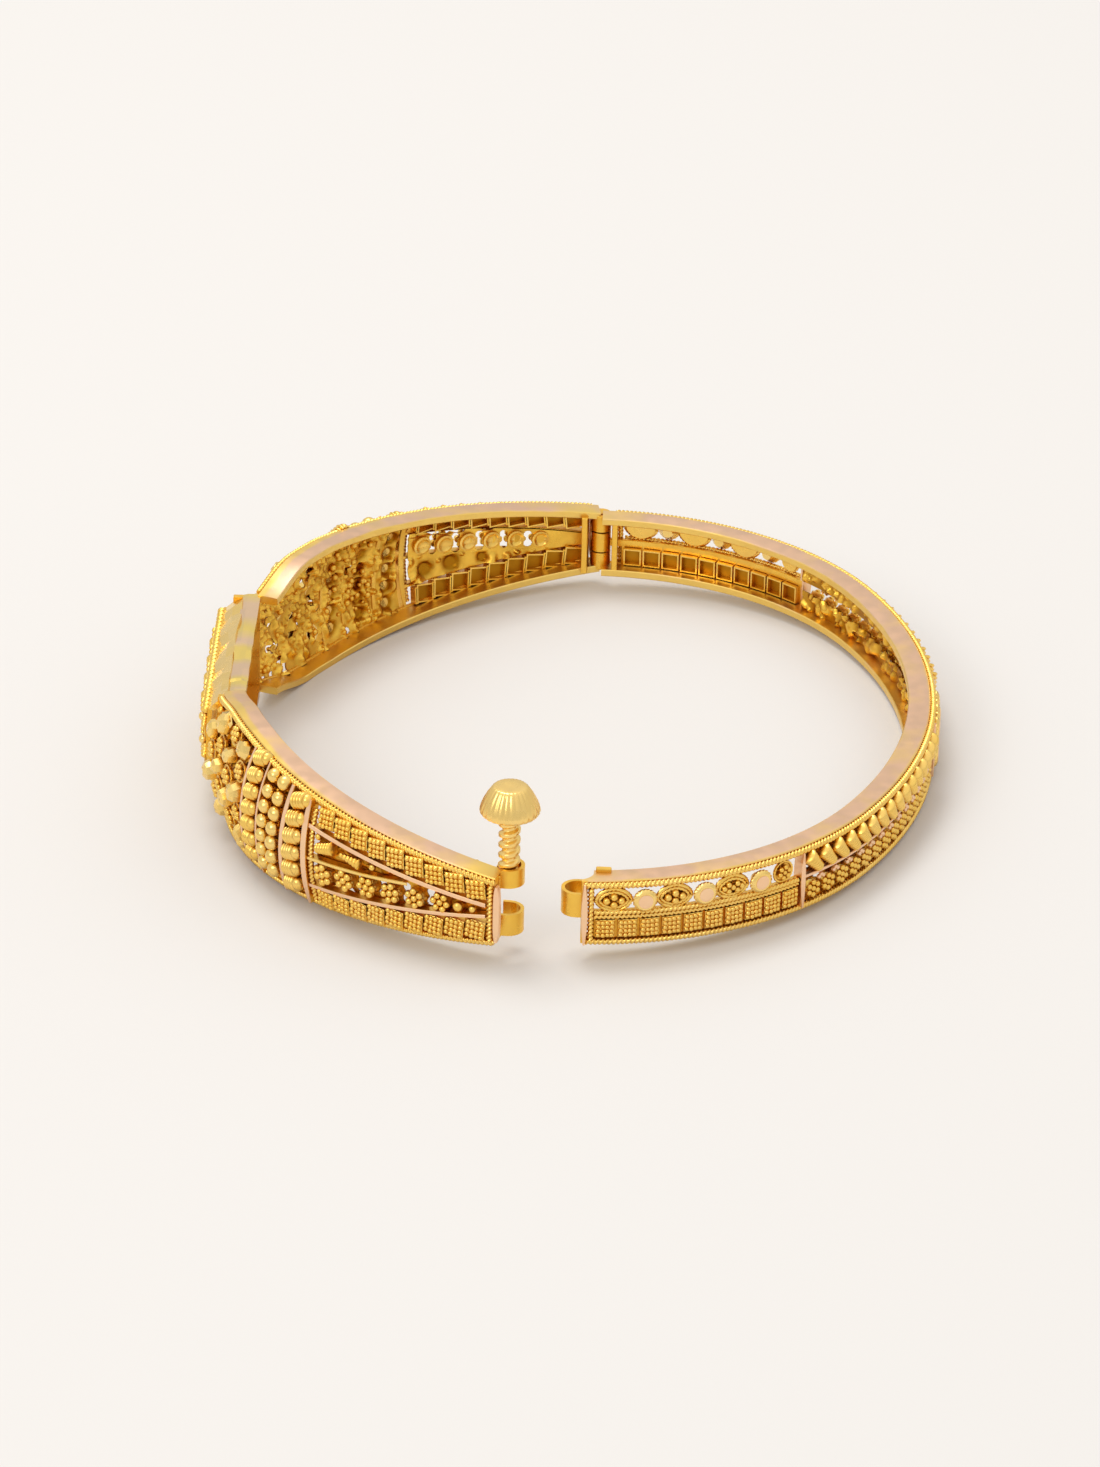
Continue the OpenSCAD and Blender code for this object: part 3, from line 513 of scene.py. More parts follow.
def soft_box(w0, w1, v0, v1, r=0.06):
    """Outline of a box from (w0, v0) to (w1, v1) whose corners are cut at 45 degrees by r."""
    return np.array([[w0 + r, v0], [w1 - r, v0], [w1, v0 + r], [w1, v1 - r],
                     [w1 - r, v1], [w0 + r, v1], [w0, v1 - r], [w0, v0 + r]])


def plain_strip(w0, w1, v0, v1, start=PLAIN_START, stop=PLAIN_STOP, steps=220, r=0.05):
    """A flat strip carried along the plain half between two runs."""
    return carried(soft_box(w0, w1, v0, v1, r), plain_place(np.linspace(start, stop, steps)))


def rim_outline(low, high, r=0.07):
    """Rim section with extra points across its flats, so that a mark can vary over its width.
    The top bellies by a few hundredths, because the strip was filed by hand."""
    w = np.linspace(-RIM_WIDTH + r, -r, ACROSS)
    belly = 0.03 * (1 - ((w + RIM_WIDTH / 2) / (RIM_WIDTH / 2)) ** 2)
    bottom = np.stack([w, low - belly * (low < 0)], -1)
    top = np.stack([w[::-1], high + belly[::-1] * (high > 0)], -1)
    outer = [[0.0, low + r], [0.0, high - r]]
    inner = [[-RIM_WIDTH, high - r], [-RIM_WIDTH, low + r]]
    return np.concatenate([bottom, outer, top, inner])


print("a rim's section has", len(rim_outline(-RIM_THICK, 0.0)), "points")

# %% [markdown]
# The rims' top face is painted pink, a painted reflection on a face that looks up, and the rest is
# yellow: the sides, the tips and part of the width. Each point of the mesh gets a mark that says how
# yellow it is, and the material reads the marks.

# %% Rims
def rim_yellow(outline, band_start, tip, top):
    """How yellow each point of a rim is: fully so below the top face, and on the top face outside
    a band's start across the width, at the inner edge and near a tip."""
    share = (outline[:, 0] + RIM_WIDTH) / RIM_WIDTH
    band = np.clip((share[None] - band_start[:, None]) / 0.16, 0, 1)
    edge = np.clip((0.05 - share[None]) / 0.04, 0, 1) + 1.6 * (outline[None, :, 1] < top - 0.2)
    mark = np.maximum(np.maximum(band, edge), tip[:, None])
    return np.concatenate([mark.ravel(), mark[:1].mean(1), mark[-1:].mean(1)])


def plain_rim_levels(side):
    """Lower and upper face of the plain half's top (side 1) or bottom (side -1) rim."""
    if side > 0:
        return HALF_HEIGHT - RIM_THICK, HALF_HEIGHT
    return -HALF_HEIGHT, RIM_THICK - HALF_HEIGHT


def plain_rim(side):
    """Rim of the plain half and its yellow marks: all yellow below, and near both tips."""
    run = np.linspace(RIM_JOIN, PLAIN_STOP, 256)
    low, high = plain_rim_levels(side)
    outline = rim_outline(low, high)
    near = np.minimum(run, PLAIN_RUN - run)
    yellow = rim_yellow(outline, 0.86 + 0 * run, np.clip(1.25 - near / 3.4, 0, 1) + (side < 0), high)
    return carried(outline, plain_place(run)), yellow


def plain_rim_end(side):
    """The rim's last stretch at the clasp, where the other half's loops are let into it."""
    run = np.linspace(PLAIN_START, RIM_JOIN, 5)
    shape = cut_away(carried(rim_outline(*plain_rim_levels(side)), plain_place(run)), PLAIN_ROOM)
    return shape, np.clip(1.25 - shape[0][:, 0] / 3.4, 0, 1) + (side < 0)


def ornate_rim(side, from_deg, to_deg):
    """One stretch of the ornate half's rims, following its changing height, and its yellow marks."""
    a = np.linspace(from_deg, to_deg, 220)
    outline = rim_outline(*((-RIM_THICK, 0.001) if side > 0 else (-0.001, RIM_THICK)))
    near = (FAR_A - np.abs(a)) * math.radians(ORNATE_R)
    by_plaque = 0.45 * np.clip(1 - (np.abs(a) - 15) / 5, 0, 1)
    tip = np.maximum(np.clip(1.2 - near / 5.5, 0, 1), by_plaque)
    start = 0.55 + 0.4 * np.clip((np.abs(a) - 24) / 36, 0, 1)
    yellow = rim_yellow(outline, start, tip + (side < 0), 0.0 if side > 0 else RIM_THICK)
    return carried(outline, ornate_place(a, side * ornate_height(a), 0.0, False)), yellow


marked_piece("plain_rims", [part(side) for part in (plain_rim, plain_rim_end) for side in (1, -1)],
             "plain", RIM_GOLD, slot="pale_gold")
marked_piece("ornate_rims", [ornate_rim(v, a0, a1) for v in (1, -1)
                             for a0, a1 in ((NEAR_A, -PLAQUE_A), (PLAQUE_A, FAR_A))],
             "ornate", RIM_GOLD, slot="pale_gold")

# %% [markdown]
# Behind the ornaments the real bangle has no closed wall, only narrow strips that the pieces are
# soldered to, and light falls through between them. The strips are carried profiles again.

# %% Backing strips of the plain half
BACK, CUP_BACK = -0.35, -0.75            # depths of the strips' and of the cups' inner side
DIVIDER_Z = 0.02                         # height of the wire between the two rows of ornaments
SQUARE_FIRST, SQUARE_PITCH, SQUARE_SIDE = 2.75, 1.655, 1.46
SQUARE_Z = -1.22
BAR_AT = 18.7                            # run of the upright bar that ends the squares
BACK_START = 1.95


def plain_box(run, u0, u1, v0, v1, w0, w1, r=0.04):
    """An upright box set in the plain wall at one run, with softened edges along its height."""
    point, along, up, out = plain_place([run, run])
    point = point + up * np.array([[v0], [v1]])
    return carried(soft_box(u0, u1, w0, w1, r), (point, up, out, along))


def both_ends(run):
    """The same run measured from the clasp and from the hinge."""
    return [run, PLAIN_RUN - run]


back_shapes = [plain_strip(BACK, 0.02, low, low + 0.22, BACK_START) for low in (1.98, -2.2)]
for start, stop in ((BACK_START, BAR_AT), (PLAIN_RUN - BAR_AT, PLAIN_STOP)):
    back_shapes.append(plain_strip(BACK, 0.02, DIVIDER_Z - 0.5, DIVIDER_Z + 0.14, start, stop, 60))
back_shapes.append(plain_strip(BACK, 0.02, 0.12, 0.42, BAR_AT, PLAIN_RUN - BAR_AT, 140))
separators = [SQUARE_FIRST + SQUARE_PITCH * (i - 0.5) for i in range(11)]
for run in [r for s in separators for r in both_ends(s)]:
    back_shapes.append(plain_box(run, -0.17, 0.17, -2.1, -0.3, BACK, 0.05))
make_piece("plain_backing", joined(back_shapes), "plain", SHEET_GOLD)

# %% [markdown]
# Twisted wire is two strands wound round each other. It could be two helical tubes; one surface
# whose cross-section has two lobes that turn along the path looks the same and has a third of the
# faces, which matters because over half a metre of it goes round the jewel.

# %% Twisted wire
ROPE_R, ROPE_LAY = 0.27, 0.68            # radius, and length of one full twist
ROPE_STEP = 0.06                         # distance between two rows of the tube


def two_strands(place, twist, radius, core, lobe, sides):
    """Rows of a tube whose radius is core + lobe |cos(angle - twist)| of the wire's."""
    point, along, up, out = place
    t = around(sides)
    r = radius * (core + lobe * np.abs(np.cos(t - twist)))
    return point[:, None] + (r * np.cos(t))[..., None] * out[:, None] \
        + (r * np.sin(t))[..., None] * up[:, None]


def rope(place, radius=ROPE_R, lay=ROPE_LAY, hand=1.0):
    """Two nearly round strands along a path; their twist grows evenly with the way along it."""
    step = np.linalg.norm(np.diff(place[0], axis=0), axis=1)
    run = np.concatenate([[0.0], np.cumsum(step)])
    return capped_grid(two_strands(place, hand * 2 * math.pi * run[:, None] / lay, radius, 0.45, 0.57, 12))


def plain_rope(z, start, stop, radius=ROPE_R, off=0.2, hand=1.0):
    """A rope laid on the plain wall at height z between two runs."""
    steps = int((stop - start) / ROPE_STEP)
    return rope(plain_place(np.linspace(start, stop, steps), z, off), radius, hand=hand)


ROPE_INSET = 0.28
ROPE_TOP = HALF_HEIGHT - ROPE_INSET
plain_ropes = [plain_rope(z, 1.15, PLAIN_RUN - 1.2) for z in (ROPE_TOP, -ROPE_TOP)]
for start, stop in ((1.9, BAR_AT - 0.3), (PLAIN_RUN - BAR_AT + 0.3, PLAIN_RUN - 2.0)):
    plain_ropes.append(plain_rope(DIVIDER_Z + 0.08, start, stop, 0.25))
    plain_ropes.append(plain_rope(DIVIDER_Z - 0.3, start, stop, 0.2, hand=-1.0))
rope_piece = make_piece("plain_twisted_wire", joined(plain_ropes), "plain", WIRE_GOLD, smooth=60)
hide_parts("plain_ropes")


def ornate_rope(side, from_deg, to_deg):
    """A rope that follows the top or bottom edge of the ornate half."""
    steps = int(math.radians(abs(to_deg - from_deg)) * ORNATE_R / ROPE_STEP)
    a = np.linspace(from_deg, to_deg, steps)
    return rope(ornate_place(a, side * (ornate_height(a) - ROPE_INSET), 0.2, False))


ornate_ropes = [ornate_rope(v, a0, a1) for v in (1, -1) for a0, a1 in ((-75.0, -16.0), (16.0, 75.2))]
rope_piece = make_piece("ornate_twisted_wire", joined(ornate_ropes), "ornate", WIRE_GOLD, smooth=60)
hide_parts("ornate_ropes")

# %% [markdown]
# A granule is a tiny ball. Hundreds of them are stamped at once, so each has only a few dozen
# faces, and smooth shading does the rest. A raised square is a stamped cup, hollow at the back,
# with four rows of four granules on its face.

# %% Granules and squares
def lathe(profile, sides):
    """A shape turned about the outward axis from (radius, out) pairs; ends are closed at a pole."""
    profile = np.asarray(profile, float)
    return capped_grid(turned(profile[:, :1], profile[:, 1:], sides))


def ball(radius, sides=8, rings=5, low=-1.0):
    """A ball about the origin, cut off below the height low (in radii) where it meets its seat."""
    t = np.linspace(math.acos(low) - 0.02, 0.25, rings)
    return lathe(np.stack([radius * np.sin(t), radius * np.cos(t)], -1), sides)


def moved(shape, x=0.0, y=0.0, z=0.0):
    """The shape shifted by x, y and z."""
    return shape[0] + np.array([x, y, z]), shape[1]


CORNERS = np.array([[-1, -1], [1, -1], [1, 1], [-1, 1]], float)
CUP_WALL = 0.12                          # thickness of a cup's sheet


def cup(wide, tall, rise):
    """An open box with its face outwards: an inner sleeve, an outer sleeve, and a face."""
    half = np.array([wide, tall]) / 2
    insets = (CUP_WALL, CUP_WALL, 0.0, 0.0, 0.05)
    heights = (rise - CUP_WALL, CUP_BACK, CUP_BACK, rise - 0.05, rise)
    return capped_grid(layers([CORNERS * (half - inset) for inset in insets], heights))


def painted_shade_face(wide, tall, depth=-0.3):
    """A dark face inside a cup's hollow back, painted shade as the hollow shows from the wrist side."""
    corners = CORNERS * (np.array([wide, tall]) / 2 - CUP_WALL)
    return capped_grid(layers([corners, corners], (depth, depth + 0.1)))


def centred(count):
    """Whole steps about zero, such as -1, 0, 1."""
    return np.arange(count) - (count - 1) / 2


def grain_square(wide, tall, rise, grain=0.225, lines=4):
    """A cup whose face is covered with granules, in lines and columns that are not quite even."""
    x, y = np.meshgrid(centred(lines), centred(lines))
    x, y = x.ravel() * (wide - 0.1) / lines, y.ravel() * (tall - 0.06) / lines
    uneven = np.random.default_rng(11).uniform(-1, 1, (3, len(x)))
    spots = np.stack([x + 0.03 * uneven[0], y + 0.03 * uneven[1], rise - 0.02 + 0.04 * uneven[2]], -1)
    flat = np.eye(3)[:, None] + np.zeros((1, len(x), 1))
    return joined([cup(wide, tall, rise), stamped(ball(grain, 7, 4, -0.2), (spots, *flat))])


print("a square has", len(grain_square(1, 1, 0.3)[0]), "points")

# %% [markdown]
# Ten squares stand in a row near each end of the plain half. One square is made once and stamped
# at all places, with a dark face of painted shade in its hollow back, because from the wrist side one
# looks into it.

# %% Squares of the plain half
SQUARE = grain_square(SQUARE_SIDE, SQUARE_SIDE, 0.36, 0.21)
square_runs = [r for i in range(10) for r in both_ends(SQUARE_FIRST + SQUARE_PITCH * i)]
squares = stamped(SQUARE, plain_place(square_runs, SQUARE_Z))
square_piece = make_piece("plain_grain_squares", squares, "plain", GRAIN_GOLD)
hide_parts("plain_squares")
square_shade_faces = stamped(painted_shade_face(SQUARE_SIDE, SQUARE_SIDE), plain_place(square_runs, SQUARE_Z))
make_piece("plain_square_hollows", square_shade_faces, "plain", PAINTED_SHADE_GOLD)

# %% [markdown]
# On the ornate half the two rows of squares part from each other as the band grows wider. They
# are the same cups, set along the edge of the changing height and turned with the slanting wires.

# %% Squares of the ornate half
FAN_FIRST, FAN_PITCH = 72.5, 2.79
FAN_WIDE, FAN_TALL = 1.58, 1.52
FAN_SQUARE = grain_square(FAN_WIDE, FAN_TALL, 0.36, 0.23)
FAN_SPIN = math.radians(6)


def square_height(a, v=1):
    """Height of a square's centre on the splayed part: a little deeper towards the clasp, and the
    lower row (v = -1) sits a little closer to its wire."""
    return ornate_height(a) - 1.06 - 0.12 * np.clip((np.abs(a) - 50) / 18, 0, 1) - 0.08 * (1 - v)


ornate_squares, ornate_shade_faces = [], []
for side in (-1, 1):
    a = side * (FAN_FIRST - FAN_PITCH * np.arange(9))
    for v in (-1, 1):
        place, spin = ornate_place(a, v * square_height(a, v)), -side * v * FAN_SPIN
        ornate_squares.append(stamped(FAN_SQUARE, place, 1.0, spin))
        ornate_shade_faces.append(stamped(painted_shade_face(FAN_WIDE, FAN_TALL), place, 1.0, spin))
square_piece = make_piece("ornate_grain_squares", joined(ornate_squares), "ornate", GRAIN_GOLD)
make_piece("ornate_square_hollows", joined(ornate_shade_faces), "ornate", PAINTED_SHADE_GOLD)
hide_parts("ornate_squares")

# %% [markdown]
# The upper row of the plain half alternates almond shapes, bent from twisted wire round a few
# granules, with turned cups whose flat faces were left in the pinker alloy. The almond's outline is
# a pair of arcs, so a parameter runs once round both, and the rope helper follows it.

# %% Almonds, rings and cups
def loop_rope(outline, radius, lay=0.5):
    """A rope bent along a closed outline in the wall's plane, set at its own radius above it."""
    n = len(outline)
    point = np.concatenate([outline, np.full((n, 1), radius * 0.8)], 1)
    ahead = np.roll(outline, -1, 0) - np.roll(outline, 1, 0)
    ahead /= np.linalg.norm(ahead, axis=1)[:, None]
    side = np.stack([ahead[:, 1], -ahead[:, 0], 0 * ahead[:, 0]], -1)
    lift = np.tile([0.0, 0.0, 1.0], (n, 1))
    length = np.linalg.norm(np.diff(outline, axis=0), axis=1).sum()
    turns = max(2, round(length / lay))
    twist = np.linspace(0, 2 * math.pi * turns, n, endpoint=False)[:, None]
    rows = two_strands((point, ahead, lift, side), twist, radius, 0.55, 0.50, 7)
    faces = grid_faces(n + 1, 7, True) % (n * 7)
    return rows.reshape(-1, 3), [faces]


def almond_outline(width, height, n=56):
    """An oval with pointed ends: x = width/2 cos t, and y = height/2 sin t |sin t|^0.35."""
    t = around(n)
    return np.stack([width / 2 * np.cos(t), height / 2 * np.sin(t) * np.abs(np.sin(t)) ** 0.35], -1)


def grain_cluster(spots, radius, lift=0.3):
    """A granule at every spot (x, y)."""
    return joined([moved(ball(radius, 8, 5, -0.4), x, y, lift) for x, y in spots])


def ring_spots(count, radius, start=0.0):
    """Spots at even angles on a circle."""
    t = start + 2 * math.pi * np.arange(count) / count
    return [(radius * math.cos(a), radius * math.sin(a)) for a in t]


def plate(outline, thick):
    """A flat sheet of the outline's shape under a motif."""
    return capped_grid(layers([outline * 0.98, outline * 0.98], (-0.1, thick)))


def almond(spots, grain):
    """An almond of two twisted wires, one inside the other, about a few granules on a plate."""
    outline = almond_outline(2.62, 1.78)
    return joined([plate(outline * 0.95, 0.05), loop_rope(outline, 0.2),
                   moved(loop_rope(outline * [0.8, 0.7], 0.16), z=0.1), grain_cluster(spots, grain, 0.4)])


def ring_rosette(radius, grain=0.21):
    """A ring of twisted wire about six granules and one in the middle, on a plate."""
    outline = np.array(ring_spots(40, radius))
    spots = ring_spots(6, radius * 0.52, 0.3) + [(0.0, 0.0)]
    return joined([plate(outline * 0.97, 0.06), loop_rope(outline, 0.13), grain_cluster(spots, grain)])


MOTIF_FIRST, MOTIF_PITCH, MOTIF_Z = 3.35, 2.28, 1.15
FOUR = [(-0.55, 0.0), (0.55, 0.0), (0.0, 0.3), (0.0, -0.3)]
SEVEN = [(-0.72, 0.0), (0.72, 0.0), (-0.36, 0.26), (0.36, 0.26), (-0.36, -0.26), (0.36, -0.26), (0.0, 0.0)]
motifs = []
for index, shape in ((0, almond(FOUR, 0.3)), (2, almond(FOUR, 0.3)), (4, almond(SEVEN, 0.24)),
                     (6, ring_rosette(0.82))):       # every second place; cups stand between
    motifs.append(stamped(shape, plain_place(both_ends(MOTIF_FIRST + MOTIF_PITCH * index), MOTIF_Z)))
almond_piece = make_piece("plain_almonds", joined(motifs), "plain", GRAIN_GOLD, smooth=60)


def flared_cup(radius, rise, teeth=20):
    """A cup that flares outwards, with a milled rim; the grid's radius ripples near the lip."""
    profile = np.array([[0.42, -0.25], [0.5, 0.0], [radius * 0.98, rise * 0.5], [radius, rise * 0.72],
                        [radius * 0.9, rise * 0.9], [radius * 0.76, rise], [radius * 0.4, rise]])
    ripple = np.array([0, 0, 0.02, 0.05, 0.04, 0.0, 0.0])[:, None] * np.cos(around(teeth * 2) * teeth)
    return capped_grid(turned(profile[:, :1] * (1 + ripple), profile[:, 1:], teeth * 2))


CUP = flared_cup(0.92, 0.8)
CUP_FACE = lathe([[0.56, 0.795], [0.56, 0.825], [0.52, 0.84], [0.3, 0.84]], 28)
cup_runs = [r for i in (1, 3, 5) for r in both_ends(MOTIF_FIRST + MOTIF_PITCH * i)]
side_runs = [PLAIN_RUN / 2 + s for s in (-2.2, 0.0, 2.2)]
cup_places = [plain_place(cup_runs, MOTIF_Z), plain_place(side_runs, 1.1), plain_place(side_runs, -1.2)]
cup_piece = make_piece("plain_cups", joined([stamped(CUP, p) for p in cup_places]), "plain", BOSS_GOLD)
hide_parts("plain_discs")
make_piece("plain_cup_faces", joined([stamped(CUP_FACE, p) for p in cup_places]), "plain",
           PINK_GOLD, slot="pale_gold")

# %% [markdown]
# In the middle of the plain half small cones of coiled wire lean one against the next, over a row
# of seven-grain flowers. A coiled cone is a lathe shape whose radius ripples along its axis.

# %% Coiled cones and flowers
def coil_cone(length, r0, r1, turns=6, sides=14):
    """A cone of coiled wire along the up axis: the radius runs from r0 to r1, is drawn in at both
    ends, and ripples once for each turn of the wire."""
    t = np.linspace(0, 1, turns * 6 + 1)[:, None]
    a = around(sides)
    ends = np.clip(np.minimum(t, 1 - t) / 0.1 + 0.55, 0, 1)
    r = (r0 + (r1 - r0) * t) * ends * (0.8 + 0.22 * np.abs(np.sin(math.pi * turns * t)))
    z = (t - 0.5) * length + 0 * a
    return capped_grid(np.stack([r * np.cos(a), z, 0.36 + r * np.sin(a)], -1)[:, ::-1])


CONE = joined([coil_cone(2.0, 0.42, 0.68, 6), moved(ball(0.24, 8, 5), y=-1.0, z=0.3)])
cone_runs = np.array([r for i in range(16) for r in both_ends(BAR_AT + 1.15 + 1.47 * i)])
cones = stamped(CONE, plain_place(cone_runs, 1.22), 1.0, np.where(cone_runs < PLAIN_RUN / 2, 1, -1) * 0.75)
cone_piece = make_piece("plain_coiled_cones", cones, "plain", WIRE_GOLD, smooth=60)
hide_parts("plain_cones")

FLOWER = joined([lathe([[0.5, -0.3], [0.62, 0.0], [0.62, 0.2], [0.4, 0.24]], 14),
                 grain_cluster(ring_spots(6, 0.5, 0.5) + [(0.0, 0.0)], 0.255, 0.3)])
flower_runs = [r for i in range(14) for r in both_ends(BAR_AT + 1.25 + 1.63 * i)]
flowers = stamped(FLOWER, plain_place(flower_runs, -1.16))
flower_piece = make_piece("plain_flowers", flowers, "plain", GRAIN_GOLD, smooth=60)
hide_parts("plain_rosettes")
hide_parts("plain_rosettes")

# %% [markdown]
# Flat wires of the pinker alloy part the fields of the plain half. The upright ones are filed to
# points at both ends, and three pink granules sit between each two flowers of the lower row.

# %% Pink wires and granules
def lens_bar(run, width=0.44, top=2.3):
    """An upright strip on the plain wall that is widest in the middle and pointed at both ends."""
    z = np.linspace(-top, top, 22)
    outline = soft_box(BACK, 0.6, -width / 2, width / 2, 0.04)
    return carried(outline, climbing(plain_place(np.full(22, run), z)), 1 - 0.7 * (z / top) ** 2)


SIDE_GAP = 3.6                           # half of the gap that the side cups take from the wire
PINK_GRAIN = grain_cluster([(0, 0.05), (-0.22, -0.1), (0.22, -0.1)], 0.2, 0.3)
pink_runs = [r for i in range(14) for r in both_ends(BAR_AT + 1.25 + 1.63 * (i + 0.5))]
pink = [stamped(PINK_GRAIN, plain_place(pink_runs, -0.28)),
        plain_strip(-0.3, 0.5, 0.1, 0.34, BAR_AT, PLAIN_RUN / 2 - SIDE_GAP, 80),
        plain_strip(-0.3, 0.5, 0.1, 0.34, PLAIN_RUN / 2 + SIDE_GAP, PLAIN_RUN - BAR_AT, 80)]
for run in both_ends(BAR_AT) + both_ends(43.2):
    pink.append(lens_bar(run))
pink.append(cut_away(lens_bar(1.2, 0.5, 2.5), PLAIN_ROOM))
pink_piece = make_piece("plain_pink_wires", joined(pink), "plain", PINK_GOLD, slot="pale_gold")
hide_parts("plain_granules")

# %% [markdown]
# The ends carry the clasp and the hinge: an upright plate, loops rolled from strip, and knuckles.
# A rolled loop is a strip bent into a U, so its outline is a thick U and it is extruded upwards.

# %% Loops, plates and knuckles
def upright(outline, z0, z1, bevel=0.05):
    """A closed outline in plan extruded upwards, drawn in slightly at both ends as a bevel."""
    centre = outline.mean(0)
    shrink = 1 - bevel / np.abs(outline - centre).max()
    outlines = [centre + (outline - centre) * s for s in (shrink, 1, 1, shrink)]
    return capped_grid(layers(outlines, (z0, z0 + bevel, z1 - bevel, z1)))


def upright_box(x0, x1, y0, y1, z0, z1, r=0.05):
    """A box between two corners, with every edge softened by r."""
    return upright(soft_box(x0, x1, y0, y1, r), z0, z1, r)


def strip_loop(z0, z1, reach, r_in=0.92, r_out=1.2, n=28):
    """A U of strip: half a ring about the screw's axis, and legs that run back to the plate."""
    t = np.linspace(0, math.pi, n) + math.copysign(math.pi / 2, reach)
    outer = np.stack([r_out * np.cos(t), r_out * np.sin(t)], -1)
    inner = np.stack([r_in * np.cos(t), r_in * np.sin(t)], -1)[::-1]
    leg = np.array([[reach, outer[-1, 1]], [reach, inner[0, 1]]])
    leg_2 = np.array([[reach, inner[-1, 1]], [reach, outer[0, 1]]])
    outline = np.concatenate([outer, leg, inner, leg_2]) + np.array(CLASP)
    m = len(outline)
    rows = layers([outline, outline], (z0, z1))
    return rows.reshape(-1, 3), [grid_faces(2, m, True), strip_lids(m)]


def squared(shape):
    """End plates and loops stand square to the plain half's, so the arc's own small turn about the
    hinge is taken off them again."""
    return turn_z(shape[0], -CLOSED_TURN, HINGE_Y), shape[1]


def tube(x, y, z0, z1, r_out, r_in, n=32):
    """An upright tube: outside, top, inside and bottom rows that close on each other."""
    rows = np.array([(r_in, z0), (r_out - 0.05, z0), (r_out, z0 + 0.05),
                     (r_out, z1 - 0.05), (r_out - 0.05, z1), (r_in, z1)])
    grid = turned(rows[:, :1], rows[:, 1:], n) + [x, y, 0]
    faces = grid_faces(len(rows) + 1, n, True) % (len(rows) * n)
    return grid.reshape(-1, 3), [faces]


print("a knuckle has", len(tube(0, 0, 0, 1, 1, 0.5)[0]), "points")

# %% [markdown]
# Plate, loop, lug and knuckles are soldered into one. A Boolean union could melt them together,
# but shapes that only run into each other look the same, so just the room for the loops is cut.

# %% End pieces of the plain half
KNUCKLE, BORE = 0.85, 0.46               # radii of the hinge's knuckles and of the hole in them
CLASP_PLATE_Y, HINGE_PLATE_Y = (-32.34, -30.4), (30.6, 32.0)
HINGE_PLATE_TOP = HALF_HEIGHT - 0.1
LUG_Y, LUG_Z = (-30.9, -30.45), (2.5, 2.92)
plain_end = joined([cut_away(upright_box(0.95, 1.4, *CLASP_PLATE_Y, -HALF_HEIGHT, HALF_HEIGHT), PLAIN_ROOM),
                    upright_box(0.95, 1.45, *HINGE_PLATE_Y, -HINGE_PLATE_TOP, HINGE_PLATE_TOP),
                    strip_loop(-0.6, 1.35, 0.5), upright_box(1.95, 3.1, *LUG_Y, *LUG_Z),
                    tube(0, HINGE_Y, 0.95, 2.45, KNUCKLE, BORE),
                    tube(0, HINGE_Y, -2.45, -0.95, KNUCKLE, BORE)])
plain_end_piece = make_piece("plain_end", plain_end, "plain", SHEET_GOLD)
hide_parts("plain_frame")

# %% [markdown]
# A short piece of twisted wire stands upright beside each end plate and hides the joint. It is the
# same rope as before; only its path now runs upwards.

# %% Posts of twisted wire beside the end plates
def plain_post(run, top=2.15, radius=0.27, off=0.22):
    """A short rope standing upright on the plain wall."""
    z = np.arange(-top, top, ROPE_STEP)
    return rope(climbing(plain_place(np.full(len(z), run), z, off)), radius)


posts = joined([plain_post(run) for run in (1.66, PLAIN_RUN - 1.6)])
make_piece("plain_posts", posts, "plain", WIRE_GOLD, smooth=60)

# %% [markdown]
# The ornate half fans out from both ends. Two slanting flat wires part its rows, then come upright
# bars, coiled domes, columns of plain balls, and a field of ring flowers and cut bosses that
# swells outwards. Everything beyond the first bar is set on the swelling, leaning with it.

# %% Fan wires and bars of the ornate half
LEAN = 0.18                              # degrees for each millimetre of height
INNER, OUTER, CAP = -0.33, 0.5, 0.57     # depths of a bar's back, front and pink cap


def line_wire(z0, rise, a0, a1, side, width, w0, w1):
    """A flat wire whose height is z0 plus rise times x, carried over the swelling. The two fans are
    alike, but the far one (side 1) was soldered in upside down."""
    a = side * np.linspace(a0, a1, 60)
    x = ORNATE_X - ORNATE_R * np.cos(np.radians(a))
    return carried(soft_box(w0, w1, -width / 2, width / 2, 0.04), ornate_place(a, -side * (z0 + rise * x)))


def upright_strip(a, width, w0, w1, lean=LEAN, taper=0.0, short=0.4):
    """A strip that climbs one column of the swelling; the angle grows by lean for each millimetre
    of height, and the width falls by the share taper towards both ends."""
    top = height_at(a) - short
    z = np.linspace(-top, top, 26)
    place = climbing(ornate_place(a + np.sign(a) * lean * z, z))
    return carried(soft_box(w0, w1, -width / 2, width / 2, 0.04), place, 1 - taper * (z / top) ** 4)


# height at x = 0, rise, first and last angle, width
FAN_WIRES = ((0.40, -0.1315, 47.4, 73.9, 0.34), (-0.04, 0.1636, 47.4, 73.9, 0.3))
MIDDLE_WIRE = (1.86, 0.135, 47.4, 62.7, 0.3)
